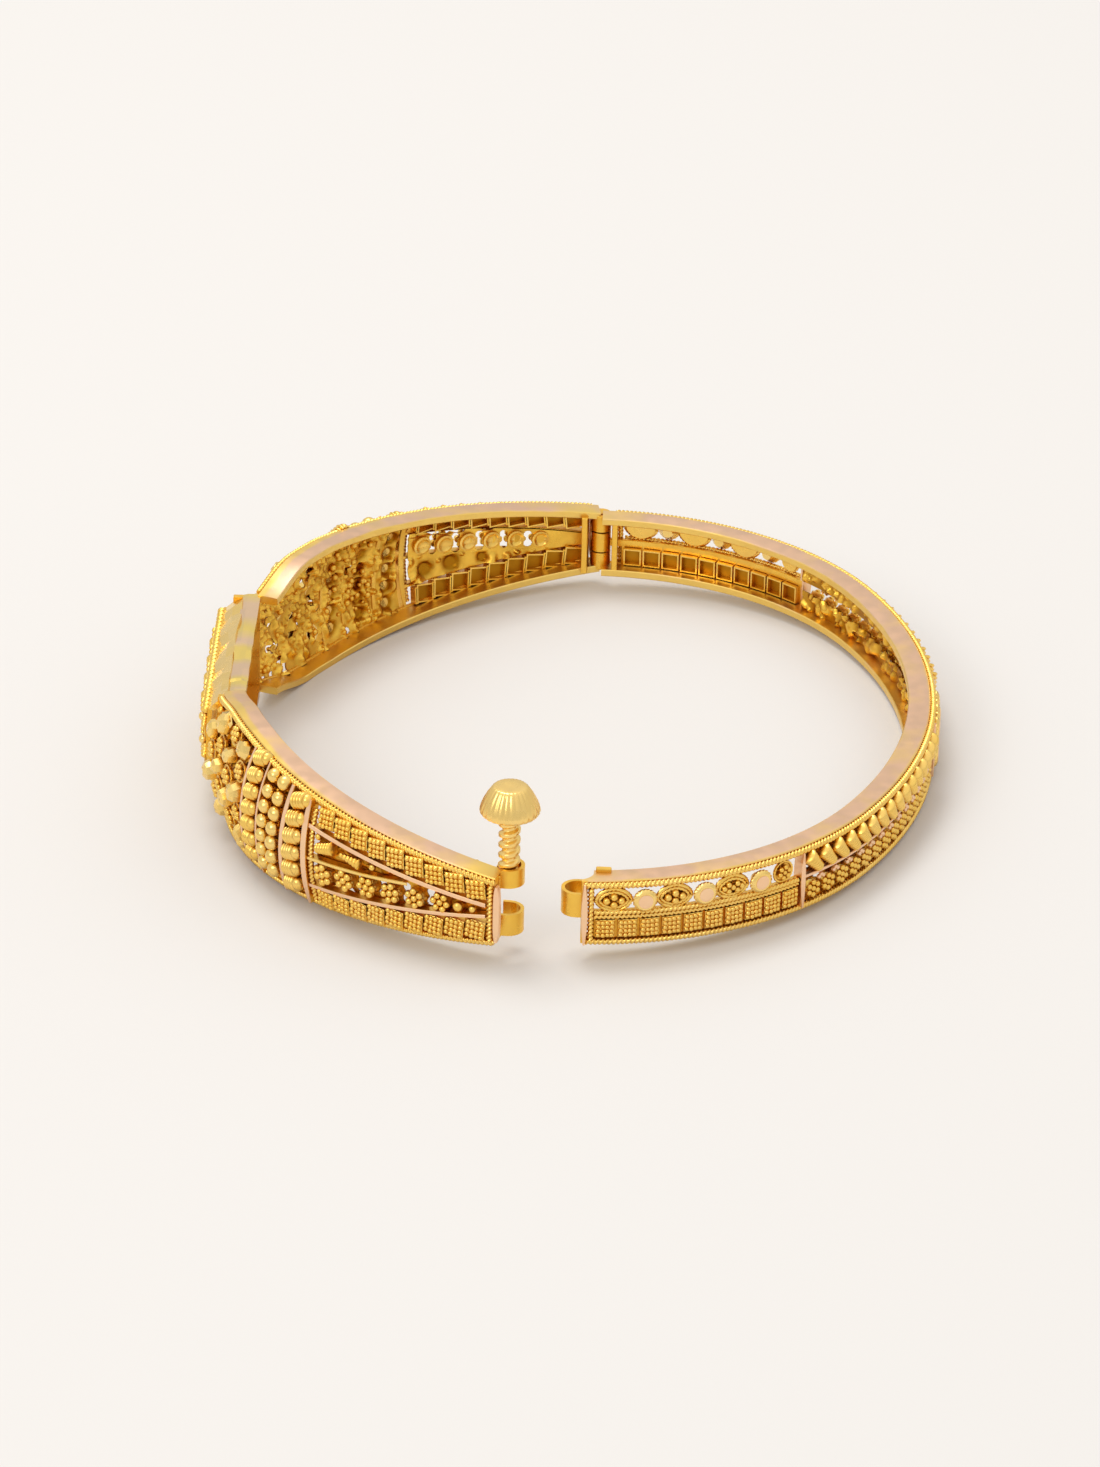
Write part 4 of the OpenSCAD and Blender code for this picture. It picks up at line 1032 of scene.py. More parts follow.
# angle, width, lean and taper
BARS = ((WEB_A, 0.58, 0.0, 0.55), (42.6, 0.46, LEAN, 0.35),
        (36.75, 0.2, LEAN, 0.2), (32.6, 0.28, LEAN, 0.2))
bodies, caps, pale_caps = [], [], []
for side in (-1, 1):
    for z0, rise, a0, a1, width in FAN_WIRES + (MIDDLE_WIRE,):
        bodies.append(line_wire(z0, rise, a0, a1, side, width * 0.9, INNER, OUTER - 0.1))
    for z0, rise, a0, a1, width in FAN_WIRES:
        caps.append(line_wire(z0, rise, a0, a1, side, width, OUTER - 0.12, CAP - 0.12))
    z0, rise, a0, a1, width = MIDDLE_WIRE
    pale_caps.append(line_wire(z0, rise, a0, a1 + 0.6, side, 0.8 * width, OUTER - 0.12, CAP - 0.14))
    for a, width, lean, taper in BARS:
        bodies.append(upright_strip(side * a, width * 0.9, INNER, OUTER, lean, taper))
        caps.append(upright_strip(side * a, width, OUTER - 0.02, CAP, lean, taper))
make_piece("ornate_bars", joined(bodies), "ornate", SHEET_GOLD)
make_piece("ornate_pink_wires", joined(caps), "ornate", PINK_GOLD, slot="pale_gold")
make_piece("ornate_middle_wires", joined(pale_caps), "ornate", BOSS_GOLD)

# %% [markdown]
# Narrow strips run behind the squares of the ornate half too, with a small cup behind each gap
# between two squares. From inside they make the bright ribs between the squares' dark backs.

# %% Backing of the ornate half
def ornate_backing(side, from_deg, to_deg, thick=0.34, inset=0.32):
    """A strip inside the top (side 1) or bottom (side -1) edge of the ornate half."""
    a = np.linspace(from_deg, to_deg, 160)
    low, high = (-thick, 0.0) if side > 0 else (0.0, thick)
    return carried(soft_box(BACK, 0.0, low, high, 0.05), ornate_place(a, side * (ornate_height(a) - inset)))


ornate_back = [ornate_backing(v, a0, a1) for v in (1, -1) for a0, a1 in ((-74.8, -15.0), (15.0, 75.4))]
make_piece("ornate_backing", joined(ornate_back), "ornate", SHEET_GOLD)
dividers = []
for side in (-1, 1):
    a = side * (FAN_FIRST - FAN_PITCH * (np.arange(10) - 0.5))
    for v in (-1, 1):
        place = ornate_place(a, v * square_height(a, v))
        dividers.append(stamped(cup(0.3, 1.4, 0.02), place, 1.0, -side * v * FAN_SPIN))
make_piece("ornate_dividers", joined(dividers), "ornate", SHEET_GOLD)

# %% [markdown]
# Between the slanting wires of each fan stands a row of seven-grain flowers on short flared tubes,
# and beside the first bar two coiled cones and a few balls fill the wide end. One flower is made
# once and stamped down the row, a little smaller each time.

# %% Rosettes and cones between the fan wires
def tipped(shape, angle):
    """A shape turned about the up axis, from outwards towards along."""
    v, f = shape
    c, s = math.cos(angle), math.sin(angle)
    return np.stack([v[:, 0] * c + v[:, 2] * s, v[:, 1], v[:, 2] * c - v[:, 0] * s], -1), f


FLARED_TUBE = [[0.4, -0.5], [0.66, -0.75], [0.84, -0.7], [0.74, -0.3], [0.66, 0.1], [0.2, 0.14]]
FAN_FLOWER = joined([lathe(FLARED_TUBE, 16),
                     grain_cluster(ring_spots(6, 0.65, 0.5) + [(0.0, 0.0)], 0.345, 0.24)])
# height and angle of each flower, from the bar to the end plate
FAN_LINE = ((-1.12, 50.1), (-0.8, 53.6), (-0.6, 57.15), (-0.42, 60.7), (-0.24, 64.2), (0.0, 67.75))
rosette_shapes = []
for side in (-1, 1):
    for i, (z, a) in enumerate(FAN_LINE):
        place = ornate_place([side * a], -side * z)
        rosette_shapes.append(stamped(FAN_FLOWER, place, 0.98 - 0.022 * i, 0.3 * i))
    for a, z, radius in ((70.2, 0.02, 0.42), (72.1, 0.04, 0.3), (49.2, 1.84, 0.29), (58.0, 1.2, 0.29)):
        rosette_shapes.append(stamped(ball(radius, 12, 7, -0.6), ornate_place([side * a], -side * z, 0.22)))
    for a, z, long, wide, narrow, spin in ((50.7, 1.24, 1.9, 0.56, 0.42, 1.25),
                                           (54.7, 1.2, 2.2, 0.46, 0.18, 1.62)):
        cone = coil_cone(long, narrow, wide, 6)
        rosette_shapes.append(stamped(cone, ornate_place([side * a], -side * z), 1.0, -spin))
rosette_piece = make_piece("ornate_flowers", joined(rosette_shapes), "ornate", GRAIN_GOLD, smooth=60)
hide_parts("ornate_rosettes")

# %% [markdown]
# Seen from the wrist, the fans have a sheet behind the flowers, pierced by a waisted hole between
# each two, and lumps of solder lie over it. A Boolean could pierce it, but leaving out the quads
# that fall in a hole is quicker and keeps the grid. The lumps are round bells with seeded places.

# %% Pierced sheets behind the fans
SHEET = 0.05                             # thickness of the sheets seen from inside
MM_PER_DEGREE = 0.606                    # along the swollen wall
LUMPS_PER_AREA = 2.4                     # lumps of solder on a square millimetre
HOLE_LEVEL = 0.42                        # a hole is open where its bell is higher than this
rng = np.random.default_rng(7)


def bells(flat, spots, wide):
    """Round bells exp(-(gap / wide)^2) of flat points (n, 2) about each spot (m, 2): n by m."""
    gap = ((flat[:, None] - spots[None]) ** 2).sum(-1)
    return np.exp(-gap / wide[None] ** 2)


def two_faced(front, back, shape, open_here):
    """A sheet with a front and a back, without the quads that touch an open point."""
    quads = grid_faces(*shape, False)
    quads = quads[~open_here[quads].any(1)]
    return np.concatenate([front, back]), [quads, quads[:, ::-1] + len(front)]


def plain_lumps(z0, z1, start, stop, step=0.12):
    """The plain half's inner face behind cones and rosettes: lumps of solder and small holes."""
    run, z = np.meshgrid(np.arange(start, stop, step), np.arange(z0, z1, step), indexing="ij")
    shape, flat = run.shape, np.stack([run.ravel(), z.ravel()], -1)
    count = int((stop - start) * (z1 - z0) * LUMPS_PER_AREA)
    lumps = np.stack([rng.uniform(start, stop, count), rng.uniform(z0, z1, count)], -1)
    bulk = 1.3 * np.tanh(bells(flat, lumps, rng.uniform(0.14, 0.4, count)).sum(1) / 1.5)
    holes = lumps[::16] + 0.4
    open_here = bells(flat, holes, rng.uniform(0.18, 0.34, len(holes))).max(1) > HOLE_LEVEL
    off = BACK - 0.3 - 0.4 * bulk
    front, back = (plain_place(flat[:, 0], flat[:, 1], off - gap)[0] for gap in (SHEET, 0.0))
    # painted shade: darker where there are fewer lumps of solder
    tone = np.clip(0.9 - 1.2 * bulk, 0, 1)
    return two_faced(front, back, shape, open_here), np.tile(tone, 2)


def fan_sheet(side):
    """The sheet behind the flowers, between the outer wires, with a waisted hole between each two."""
    a, v = np.meshgrid(np.arange(48.0, 73.8, 0.15), np.linspace(0, 1, 72), indexing="ij")
    shape, a, v = a.shape, a.ravel(), v.ravel()
    x = ORNATE_X - ORNATE_R * np.cos(np.radians(a))
    high, low = (z0 + rise * x for z0, rise, *_ in FAN_WIRES)
    z = low + (high - low) * v
    spots = np.array(FAN_LINE)
    gap_a, gap_z = (spots[1:, 1] + spots[:-1, 1]) / 2, (spots[1:, 0] + spots[:-1, 0]) / 2
    across = MM_PER_DEGREE * (a[:, None] - gap_a[None])
    upward = np.abs(z[:, None] - gap_z[None])
    reach = np.array([0.62, 0.6, 0.58, 0.5, 0.4])
    eye = across ** 2 + (upward - reach) ** 2 < 0.30 ** 2
    waist = (np.abs(across) < 0.12) & (upward < reach)
    open_here = (eye | waist).any(1)
    flower_z = np.interp(a, spots[:, 1], spots[:, 0])
    away = np.clip((np.abs(z - flower_z) - 0.9) / 0.3, 0, 1)
    flat = np.stack([MM_PER_DEGREE * a, z], -1)
    lumps = np.stack([rng.uniform(29.0, 45.0, 170), rng.uniform(-3, 4, 170)], -1)
    bulk = 1.3 * np.tanh(bells(flat, lumps, rng.uniform(0.16, 0.42, 170)).sum(1) / 1.3)
    cones = np.array([[50.7, 1.24], [54.7, 1.1], [59.4, 1.1]]) * [MM_PER_DEGREE, 1]
    pit = np.minimum(1.5 * bells(flat, cones, np.array([0.75, 0.7, 0.5])).max(1), 1)
    off = -0.4 - 0.4 * bulk * away * (1 - pit) + 0.25 * pit * away
    front = ornate_place(side * a, -side * z, off)[0]
    back = ornate_place(side * a, -side * z, off - SHEET)[0]
    # painted shade: dark in the pits behind the cones
    tone = np.clip(1.6 * pit - 0.2, 0, 1.2) * away
    return two_faced(front, back, shape, open_here), np.tile(tone, 2)


marked_piece("ornate_fan_sheets", [fan_sheet(side) for side in (-1, 1)], "ornate", WALL_GOLD_AND_SHADE, smooth=60)

# %% [markdown]
# The two broad columns are beehives of coiled wire that lie on their side, and two columns of
# smooth hollow balls stand between them. A beehive is a lathe shape too: its radius ripples once
# for each turn of wire. It is tipped on its side and cut flat where it would stick out behind.

# %% Coiled domes and balls
def coil_dome(radius, length, turns=4):
    """A hollow beehive about the outward axis: an inner wall, rings of coiled wire whose radius is
    radius (0.7 - 0.06 t) + 0.22 |sin(pi turns t)|, and a smooth rounded cap."""
    t = np.linspace(0.0, 1.0, turns * 6 + 1)
    ribs = np.stack([radius * (0.7 - 0.06 * t) + 0.22 * np.abs(np.sin(math.pi * turns * t)) ** 0.8,
                     length * (t * 0.72 - 0.5)], -1)
    a = np.linspace(0.15, 1.45, 6)
    cap = np.stack([0.78 * radius * np.cos(a), length * 0.24 + 0.26 * length * np.sin(a)], -1)
    inner = [[0.05, 0.1], [radius * 0.6, 0.0], [radius * 0.78, -0.5 * length]]
    return lathe(inner + ribs.tolist() + cap.tolist(), 20)


# angle, middle height, pitch, count, radius, length
DOME_COLUMNS = ((44.9, 0.25, 1.42, 6, 0.74, 2.0), (34.85, 0.55, 1.36, 7, 0.70, 1.85))
dome_shapes = []
for side in (-1, 1):
    for a0, middle, pitch, count, radius, length in DOME_COLUMNS:
        z = middle + pitch * centred(count)
        verts, faces = tipped(coil_dome(radius, length), -side * math.radians(84))
        verts = np.concatenate([verts[:, :2], np.maximum(verts[:, 2:], -0.16)], 1)
        place = ornate_place(side * (a0 + LEAN * z), z, 0.26)
        dome_shapes.append(stamped((verts, faces), place, 1.0, -side * 0.35))
dome_piece = make_piece("ornate_coiled_domes", joined(dome_shapes), "ornate", WIRE_GOLD, smooth=60)
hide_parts("ornate_domes")

BALL_COLUMNS = ((40.55, 0.63), (38.15, 0.6))
ball_z = 0.42 + 1.25 * centred(7)
ball_shapes = []
for side in (-1, 1):
    for a0, radius in BALL_COLUMNS:
        place = ornate_place(side * (a0 + 0.22 * ball_z), ball_z, 0.36)
        ball_shapes.append(stamped(ball(radius, 16, 10, -0.35), place))
ball_piece = make_piece("ornate_smooth_balls", joined(ball_shapes), "ornate", BOSS_GOLD, smooth=60)
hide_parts("ornate_balls")

# %% [markdown]
# From inside, the wall is rough: domes, balls and bosses were soldered together at the back with
# filings that ran into lumps and blobs, with pits where the hollow pieces open, painted dark as painted
# shade. The wall is a grid pushed in and out, and the blobs are balls of uneven size, scattered with a
# fixed seed over the inner side of the swelling, so the same ones come out each time.

# %% Rough inner walls
rng = np.random.default_rng(7)


def rough_wall(side, step=0.11):
    """The sheet behind domes, balls and field, seen from the wrist: its depth is the sum of round
    lumps where solder gathered, less round pits behind the domes and balls, and it has holes."""
    a, v = np.meshgrid(np.arange(15.4, 46.4, step / MM_PER_DEGREE), np.linspace(-1, 1, 92), indexing="ij")
    shape, a, v = a.shape, a.ravel(), v.ravel()
    z = v * (ornate_height(a) - 0.45)
    flat = np.stack([MM_PER_DEGREE * (a - LEAN * z), z], -1)
    lumps = np.stack([rng.uniform(9.0, 28.0, 420), rng.uniform(-5, 5, 420)], -1)
    bulk = 1.4 * np.tanh(bells(flat, lumps, rng.uniform(0.14, 0.36, 420)).sum(1) / 1.4)
    columns = [(a0, middle + pitch * centred(count)) for a0, middle, pitch, count, _, _ in DOME_COLUMNS]
    columns.append((40.0, ball_z))
    pits = np.concatenate([np.stack([MM_PER_DEGREE * a0 + 0 * zz, zz], -1) for a0, zz in columns])
    pit = np.minimum(1.7 * bells(flat, pits, np.full(len(pits), 0.5)).max(1), 1)
    off = -0.22 - 0.42 * bulk * (1 - pit) + 0.34 * pit
    front = ornate_place(side * a, z, off)[0]
    back = ornate_place(side * a, z, off + SHEET)[0]
    holes = np.stack([rng.uniform(9.0, 24.0, 30), rng.uniform(-4.4, 4.4, 30)], -1)
    open_here = bells(flat, holes, rng.uniform(0.2, 0.36, 30)).max(1) > HOLE_LEVEL
    # painted shade: dark in the pits, and a little darker between the lumps
    tone = np.clip(1.5 * pit - 0.2, 0, 1.2) + 0.25 * (bulk < 0.5)
    return two_faced(front, back, shape, open_here), np.tile(tone, 2)


# in these walls the yellow mark says how dark a point is: painted shade in the pits and between the lumps
PLAIN_ROWS = ((-HALF_HEIGHT + 0.5, DIVIDER_Z - 0.4), (DIVIDER_Z + 0.35, HALF_HEIGHT - 0.5))
rows = [plain_lumps(z0, z1, BAR_AT + 0.3, PLAIN_RUN - BAR_AT - 0.3) for z0, z1 in PLAIN_ROWS]
marked_piece("plain_rough_wall", rows, "plain", WALL_GOLD_AND_SHADE, smooth=60)
marked_piece("ornate_rough_wall", [rough_wall(side) for side in (-1, 1)], "ornate", WALL_GOLD_AND_SHADE, smooth=60)


def solder_grains(count, a0, a1, side):
    """Blobs between two angles: even random angle and height, each sunk a little into the wall."""
    a = side * rng.uniform(a0, a1, count)
    z = rng.uniform(-1, 1, count) * (ornate_height(a) - 0.75)
    place = ornate_place(a, z, rng.uniform(-0.28, -0.02, count))
    return stamped(ball(0.3, 8, 5), place, rng.uniform(0.6, 1.25, count))


grains = joined([solder_grains(count, a0, a1, side) for side in (-1, 1)
                 for count, a0, a1 in ((40, 37.1, 42.3), (20, 33.0, 36.4), (60, 16.5, 32.2))])
make_piece("ornate_solder_grains", grains, "ornate", SHEET_GOLD, smooth=60)

# %% [markdown]
# The field beside the plaque is set like a draughtboard: ring flowers and cut bosses in turn. A cut
# boss is a low eight-sided drum with a table, as a goldsmith would file it, so its edges stay sharp.

# %% Centre field
FIELD_A, FIELD_STEP, FIELD_PITCH = 30.2, 3.75, 1.78      # first angle, step in degrees, pitch in mm


def field_spots(kind):
    """Angles and heights of every spot of one kind (0 boss, 1 ring flower) on both sides."""
    column, line = [m.ravel() for m in np.meshgrid(np.arange(4), np.arange(6))]
    z = 4.0 - FIELD_PITCH * line + 0.25 * (column % 2)
    a = FIELD_A - FIELD_STEP * column + 0.1 * z
    keep = (np.abs(z) < ornate_height(a) - 0.95) & ((line + column) % 2 == kind)
    a, z = a[keep], z[keep]
    return np.concatenate([a, -a]), np.concatenate([z, z])


def cut_boss(radius, rise, sides=8):
    """A drum of flat faces: skirt, girdle, crown and table rows of a regular polygon, hollow behind."""
    rows = [[radius * 0.3, 0.1], [radius * 0.7, -0.25], [radius * 0.86, -0.25], [radius, 0.05],
            [radius, rise * 0.38], [radius * 0.84, rise * 0.78], [radius * 0.46, rise], [radius * 0.2, rise]]
    return lathe(rows, sides)


def planished(shape, tilt, seed):
    """The same shape with its points pushed about a little, so that every facet faces its own way."""
    v, f = shape
    return v + np.random.default_rng(seed).uniform(-tilt, tilt, v.shape) * (v[:, 2:] > 0), f


a, z = field_spots(1)
field = stamped(ring_rosette(0.84, 0.24), ornate_place(a, z, 0.04), 1.0 + 0.04 * np.cos(7 * z))
field_piece = make_piece("centre_ring_flowers", field, "ornate", GRAIN_GOLD, smooth=60)
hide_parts("centre_rosettes")
a, z = field_spots(0)
bosses = []
for i in range(len(a)):
    boss = planished(cut_boss(0.76, 0.9, 7 + i % 3), 0.05, i)
    bosses.append(stamped(boss, ornate_place([a[i]], z[i]), 0.92 + 0.12 * (i % 3), 0.7 * i))
for side in (-1, 1):
    bosses.append(stamped(ball(0.5, 14, 9, -0.7), ornate_place([side * 29.5], -4.05, 0.3)))
    broad = planished(cut_boss(0.95, 0.8, 6), 0.12, 40)
    bosses.append(stamped(broad, ornate_place([side * 23.0], 4.1), 1.0, 0.4))
boss_piece = make_piece("centre_cut_bosses", joined(bosses), "ornate", BOSS_GOLD, smooth=22)
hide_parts("centre_bosses")

# %% [markdown]
# The plaque is a straight strip set across the middle. Its upper and lower edges were planished
# with a small hammer, which leaves flat facets. The facets are a grid whose points are pushed in
# and out by a fixed, seeded pattern and shaded flat.

# %% Plaque
PLAQUE_X, PLAQUE_Y, PLAQUE_TURN = -25.05, -0.2, math.radians(5)
PLAQUE_HALF = 9.1


def plaque_points(points):
    """Plaque millimetres (x out is negative, y along) to the flat frame of the bangle."""
    return turn_z(points, PLAQUE_TURN) + np.array([PLAQUE_X, PLAQUE_Y, 0.0])


def on_plaque(shape):
    """A shape in plaque millimetres, moved to the flat frame."""
    return plaque_points(shape[0]), shape[1]


def plaque_place(y, z, x):
    """Places on the outside of the plaque, facing outwards."""
    y, z, x = np.broadcast_arrays(np.atleast_1d(np.asarray(y, float)), z, x)
    point = plaque_points(np.stack([x, y, z], -1))
    n = len(y)
    out = np.tile(turn_z(np.array([-1.0, 0, 0]), PLAQUE_TURN), (n, 1))
    along = np.tile(turn_z(np.array([0, -1.0, 0]), PLAQUE_TURN), (n, 1))
    return point, along, np.tile([0, 0, 1.0], (n, 1)), out


# where the plaque's rim was filed anew, and how yellow it is there, a painted reflection of the way each
# facet faces
FACET_Y = np.array([-9.1, -7.6, -6.3, -5.9, -4.1, -2.3, -0.9, 0.6, 2.9, 4.4, 6.7, 9.1])
FACET_PAINTED_TONE = np.array([1.5, 0.2, 1.4, 1.2, -0.6, 0.9, 1.3, -0.3, 1.2, 0.4, -0.8, 0.9])


def faceted_rim(side):
    """The rim over the plaque: its section is filed anew at every mark along it, so that each facet
    tips its own way, and each facet is painted pink or yellow from a table, as a painted reflection."""
    section = np.array([[0.82, -0.62], [0.82, -0.06], [0.35, 0.0], [-0.1, 0.0], [-0.55, -0.1], [-0.8, -0.62]])
    jolt = rng.uniform(-1, 1, (len(FACET_Y), len(section), 2)) * np.array([0.05, 0.2])
    jolt[:, (0, 5)] = 0
    jolt[..., 1] = np.minimum(jolt[..., 1], 0)
    rows = section[None] + jolt
    y = FACET_Y[:, None] + 0 * rows[..., 0]
    grid = np.stack([rows[..., 0], y, side * (WAIST + rows[..., 1])], -1)
    mark = np.repeat(FACET_PAINTED_TONE, len(section))
    return on_plaque(capped_grid(grid)), np.concatenate([mark, [1.0, 1.0]])


rng = np.random.default_rng(7)
marked_piece("plaque_rims", [faceted_rim(v) for v in (1, -1)], "ornate", PLAQUE_GOLD,
             slot="pale_gold", smooth=4)


def hammered(side, n=13):
    """A bevel strip of planished facets between the rim and the bead rows."""
    y = np.linspace(-PLAQUE_HALF + 0.15, PLAQUE_HALF - 0.15, n)
    y[1:-1] += rng.uniform(-0.25, 0.25, n - 2)
    section = np.array([[-0.3, WAIST - 0.5], [-0.55, WAIST - 0.08], [-1.25, 3.8], [-2.05, 3.05], [-1.6, 2.9]])
    jolt = rng.uniform(-0.13, 0.13, (n, len(section), 2))
    jolt[:, (0, 4)] = 0
    profile = section[None] + jolt
    grid = np.stack([profile[..., 0], y[:, None] + 0 * profile[..., 0], side * profile[..., 1]], -1)
    return on_plaque(capped_grid(grid))


facet_piece = make_piece("plaque_facets", joined([hammered(1), hammered(-1)]), "ornate", BOSS_GOLD, smooth=5)
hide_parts("ornate_frame")

# %% [markdown]
# The plaque's face is a low curved sheet, closed at both ends, with rows of beads, ring flowers and
# small bosses soldered on. The sheet is an outline extruded along the plaque.

# %% Plaque face and ends
def extruded(outline, y0, y1):
    """Two rows of the outline (x, z), at both ends of a stretch of the plaque."""
    return np.stack([np.stack([outline[:, 0], np.full(len(outline), y), outline[:, 1]], -1)
                     for y in (y0, y1)])


def plaque_sheet():
    """A low curved sheet behind the beads: x = -2.25 + 0.2 (z / 3.1)^2."""
    z = np.linspace(-3.1, 3.1, 13)
    x = -2.25 + 0.2 * (z / 3.1) ** 2
    outline = np.concatenate([np.stack([x, z], -1), np.stack([x + 0.35, z], -1)[::-1]])
    m = len(outline)
    return on_plaque((extruded(outline, -8.9, 8.9).reshape(-1, 3), [grid_faces(2, m, True), strip_lids(m)]))


def plaque_end(y, half_thick=0.25):
    """A plate across one end of the plaque."""
    outline = soft_box(-1.3, 0.8, -WAIST + 0.1, WAIST - 0.1, 0.05)
    return on_plaque(capped_grid(extruded(outline, y - half_thick, y + half_thick)))


make_piece("plaque_sheet", joined([plaque_sheet(), plaque_end(-8.85), plaque_end(8.85)]),
           "ornate", SHEET_GOLD)

# %% [markdown]
# Two rows of large beads and two of small ones frame three rows of ring flowers and bosses, and
# smooth knobs stand between the rows. Each row is one stamp along the plaque.

# %% Beads of the plaque
ROSETTE_STEP = 3.1
rosette_y = ROSETTE_STEP * np.arange(-2, 3)
boss_y = ROSETTE_STEP * (np.arange(-2, 2) + 0.5)
bead_shapes = [stamped(ball(radius, 8, 5, -0.6), plaque_place(pitch * np.arange(-count, count + 1), z, x))
               for radius, pitch, count, height, x in ((0.37, 0.66, 13, 2.85, -2.2),
                                                       (0.26, 0.52, 16, 1.3, -2.4))
               for z in (-height, height)]
for shape, y, x in ((ring_rosette(0.72, 0.22), rosette_y, -2.32), (cut_boss(0.52, 0.62), boss_y, -2.3)):
    bead_shapes += [stamped(shape, plaque_place(y, z, x)) for z in (-2.0, 0.0, 2.0)]
bead_piece = make_piece("plaque_grains", joined(bead_shapes), "ornate", GRAIN_GOLD, smooth=40)
knobs = joined([stamped(ball(0.4, 16, 10, -0.7), plaque_place(rosette_y, z, -2.6)) for z in (-1.0, 1.0)])
knob_piece = make_piece("plaque_knobs", knobs, "ornate", BOSS_GOLD, smooth=60)
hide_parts("plaque_beads")
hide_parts("plaque_beads")

# %% [markdown]
# The ornate half ends in the same parts as the plain one: a plate, two loops that take the third
# between them, a lug and the middle knuckle. Posts of twisted wire and pink strips close its wall.

# %% Ends of the ornate half
LOOP_TOP = 2.95                          # upper face of the upper loop, where the head comes to rest
clasp_plate = upright_box(-0.35, 0.15, *CLASP_PLATE_Y, -HALF_HEIGHT, HALF_HEIGHT)
ornate_end = joined([cut_away(clasp_plate, ORNATE_ROOM),
                     upright_box(-1.45, -0.95, *HINGE_PLATE_Y, -HINGE_PLATE_TOP, HINGE_PLATE_TOP),
                     strip_loop(1.5, LOOP_TOP, -0.5), strip_loop(-2.5, -0.75, -0.5),
                     upright_box(-2.7, -1.7, *LUG_Y, *LUG_Z), tube(0, HINGE_Y, -0.85, 0.85, KNUCKLE, BORE)])
ornate_end_piece = make_piece("ornate_end", squared(ornate_end), "ornate", SHEET_GOLD)
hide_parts("ornate_frame")


def ornate_post(a, radius, short, off=0.2):
    """A short rope that stands upright on the ornate wall and follows its swelling."""
    top = height_at(a) - short
    z = np.arange(-top, top, ROPE_STEP)
    return rope(climbing(ornate_place(np.full(len(z), a), z, off)), radius)


posts = [ornate_post(side * a, radius, short) for side in (-1, 1)
         for a, radius, short in ((74.35, 0.28, 0.45), (48.0, 0.24, 0.8))]
make_piece("ornate_posts", joined(posts), "ornate", WIRE_GOLD, smooth=60)
end_faces = [upright_strip(side * 75.3, 0.5, 0.0, 0.5, 0.0, 0.6) for side in (-1, 1)]
make_piece("ornate_end_faces", joined(end_faces), "ornate", PINK_GOLD, slot="pale_gold")

# %% [markdown]
# The screw is turned in one piece: a fluted head on a threaded shank. Both are one kind of surface,
# a radius that depends on height and angle. A true thread is a ripple that climbs by one pitch each
# turn, so the shank's radius uses height and angle together.

# %% Screw
SCREW_RAISE = 4.2                        # how far the screw is turned out in the photograph
SCREW_BASE = LOOP_TOP + SCREW_RAISE
SCREW_LENGTH, PITCH = 5.55, 0.85         # of the threaded shank


def thread():
    """Shank: the radius rides between core and crest with the phase height / pitch - angle."""
    z = np.linspace(-SCREW_LENGTH, 0.06, 150)[:, None]
    t = around(40)
    phase = (z / PITCH - t / (2 * math.pi)) % 1.0
    crest = np.clip(0.5 + 0.75 * np.cos(2 * math.pi * (phase - 0.5)), 0, 1) ** 0.8
    fade = np.clip((z + SCREW_LENGTH) / 0.5, 0, 1)
    r = 0.56 + 0.27 * crest * (0.4 + 0.6 * fade) - 0.08 * (1 - fade)
    return capped_grid(turned(r, z, len(t)))


def head(sides=160, flutes=26):
    """Head: a dome profile whose side is scored by upright flutes that fade to the table."""
    profile = np.array([[0.5, 0.03], [1.9, 0.05], [2.14, 0.13], [2.28, 0.34], [2.24, 0.62], [2.06, 1.08],
                        [1.72, 1.72], [1.42, 2.16], [1.28, 2.3], [1.14, 2.34], [0.6, 2.31]])
    depth = np.array([0, 0.3, 0.8, 1, 1, 1, 1, 0.9, 0.6, 0, 0])[:, None] * 0.1
    t = around(sides)
    wobble = rng.uniform(0.3, 1.0, flutes)
    cut = np.abs(np.sin(t * flutes / 2)) ** 0.7
    which = (t * flutes / (2 * math.pi)).astype(int) % flutes
    r = profile[:, :1] - depth * (1 - cut) * wobble[which]
    return capped_grid(turned(r, profile[:, 1:], sides))


screw_shape = moved(joined([thread(), head()]), *CLASP, SCREW_BASE)
screw_piece = make_piece("screw_turned", squared(screw_shape), "screw_turn", SCREW_GOLD,
                         slot="screw_gold", smooth=45)
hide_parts("screw")

# %% [markdown]
# Two small nodes keep their solids: the hinge pin and the rod inside the screw. They only get a
# material, since their plain round shape is the true one.

# %% Kept solids
for name, material in (("hinge_pin", SHEET_GOLD), ("screw_core_pin", SCREW_GOLD)):
    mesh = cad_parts[name].data
    mesh.materials.clear()
    mesh.materials.append(material)
    print("kept solid:", name)

# %% [markdown]
# The floor is a pale sheet of paper that runs out of the picture.

# %% Floor
REACH = 1.5                              # metres
floor_mesh = bpy.data.meshes.new("floor")
floor_mesh.from_pydata([(REACH * x, REACH * y, 0) for x, y in CORNERS], [], [(0, 1, 2, 3)])
floor = in_scene("floor", floor_mesh)
paper = bpy.data.materials.new("paper")
paper.use_nodes = True
sheet = paper.node_tree.nodes["Principled BSDF"]
for socket, value in (("Base Color", (0.74, 0.716, 0.692, 1)), ("Roughness", 0.9),
                      ("Specular IOR Level", 0.0)):
    sheet.inputs[socket].default_value = value
floor_mesh.materials.append(paper)
print("floor reaches", REACH, "m each way")

# %% [markdown]
# Studio light is a bright sky, a little darker near the table, with one soft lamp from behind and
# above, which throws the soft shadow towards the viewer, and a weaker one from the front left.

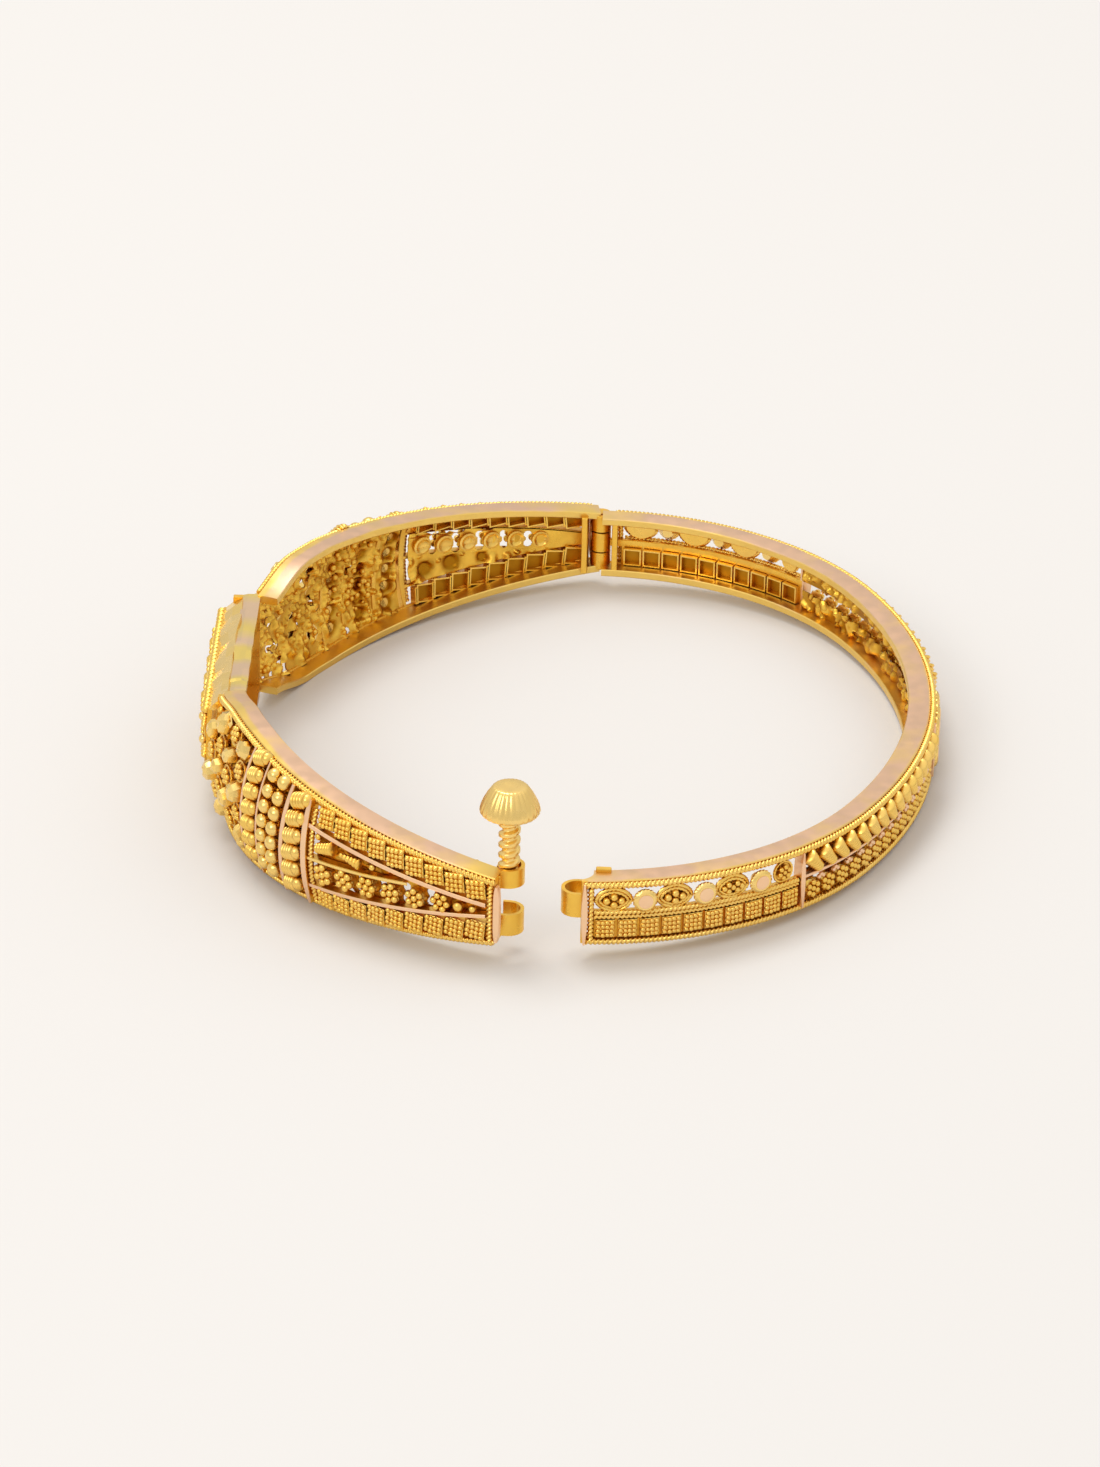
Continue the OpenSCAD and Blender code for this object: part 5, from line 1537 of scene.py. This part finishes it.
# %% Light
world = bpy.data.worlds.new("studio")
bpy.context.scene.world = world
world.use_nodes = True
sky = world.node_tree
background = sky.nodes["Background"]
background.inputs["Color"].default_value = (1.0, 0.985, 0.96, 1)
toward = node(sky, "TexCoord", {}).outputs["Generated"]
height = node(sky, "SeparateXYZ", {"Vector": toward}).outputs["Z"]
dome = node(sky, "MapRange", {"Value": height, "From Min": 0.3, "From Max": 0.8,
                              "To Min": 0.72, "To Max": 0.98})
sky.links.new(dome.outputs["Result"], background.inputs["Strength"])


def standing(name, data, right, up, back, place):
    """A lamp or a camera at a place, with its own right, up and back directions."""
    holder = in_scene(name, data)
    axes = [[right[i], up[i], back[i], place[i]] for i in range(3)]
    holder.matrix_world = Matrix(axes + [[0, 0, 0, 1]])
    return holder


def soft_lamp(name, place, size, energy):
    """A square lamp that looks at the bangle's middle: its back axis points from there to it."""
    lamp = bpy.data.lights.new(name, "AREA")
    lamp.shape, lamp.size, lamp.energy = "SQUARE", size, energy
    back = np.array(place) / np.linalg.norm(place)
    right = np.cross([0, 0, 1.0], back)
    right /= np.linalg.norm(right)
    standing(name, lamp, right, np.cross(back, right), back, place)
    print(name, "gives", energy, "W")


soft_lamp("key_lamp", (-0.12, 0.2, 0.72), 0.35, 1.9)
soft_lamp("front_lamp", (-0.4, -0.5, 0.5), 0.3, 1.0)

# %% [markdown]
# The camera stands where the photographer's did: a long lens, 27 degrees above the table, rolled
# by two degrees. Its numbers were found by matching the rims' outline to the picture.

# %% Camera
SENSOR = 36.0
ELEVATION, AZIMUTH, ROLL = math.radians(27.0), math.radians(3.555), math.radians(2.189)
DISTANCE = 0.50417
FOCAL_PIXELS, IMAGE_HEIGHT = 6413.4, 1467
AIM_RIGHT, AIM_UP = -0.002835, -0.001385


def camera_axes():
    """Right, up and back directions of a camera at the azimuth and elevation, before its roll."""
    sa, ca, se, ce = math.sin(AZIMUTH), math.cos(AZIMUTH), math.sin(ELEVATION), math.cos(ELEVATION)
    back = np.array([sa * ce, -ca * ce, se])
    right = np.array([ca, sa, 0.0])
    return right, np.cross(back, right), back


right, up, back = camera_axes()
aim = right * AIM_RIGHT + up * AIM_UP + np.array([SHIFT_X, SHIFT_Y, REST_LIFT]) / 1000
eye = aim + back * DISTANCE
lens = bpy.data.cameras.new("photo_camera")
lens.sensor_width = SENSOR
lens.lens = FOCAL_PIXELS / IMAGE_HEIGHT * SENSOR
lens.clip_start = 0.01
rolled_right = right * math.cos(ROLL) - up * math.sin(ROLL)
rolled_up = right * math.sin(ROLL) + up * math.cos(ROLL)
bpy.context.scene.camera = standing("photo_camera", lens, rolled_right, rolled_up, back, eye)
bpy.context.scene.view_settings.view_transform = "Standard"
print("camera stands at", [round(v, 3) for v in eye])
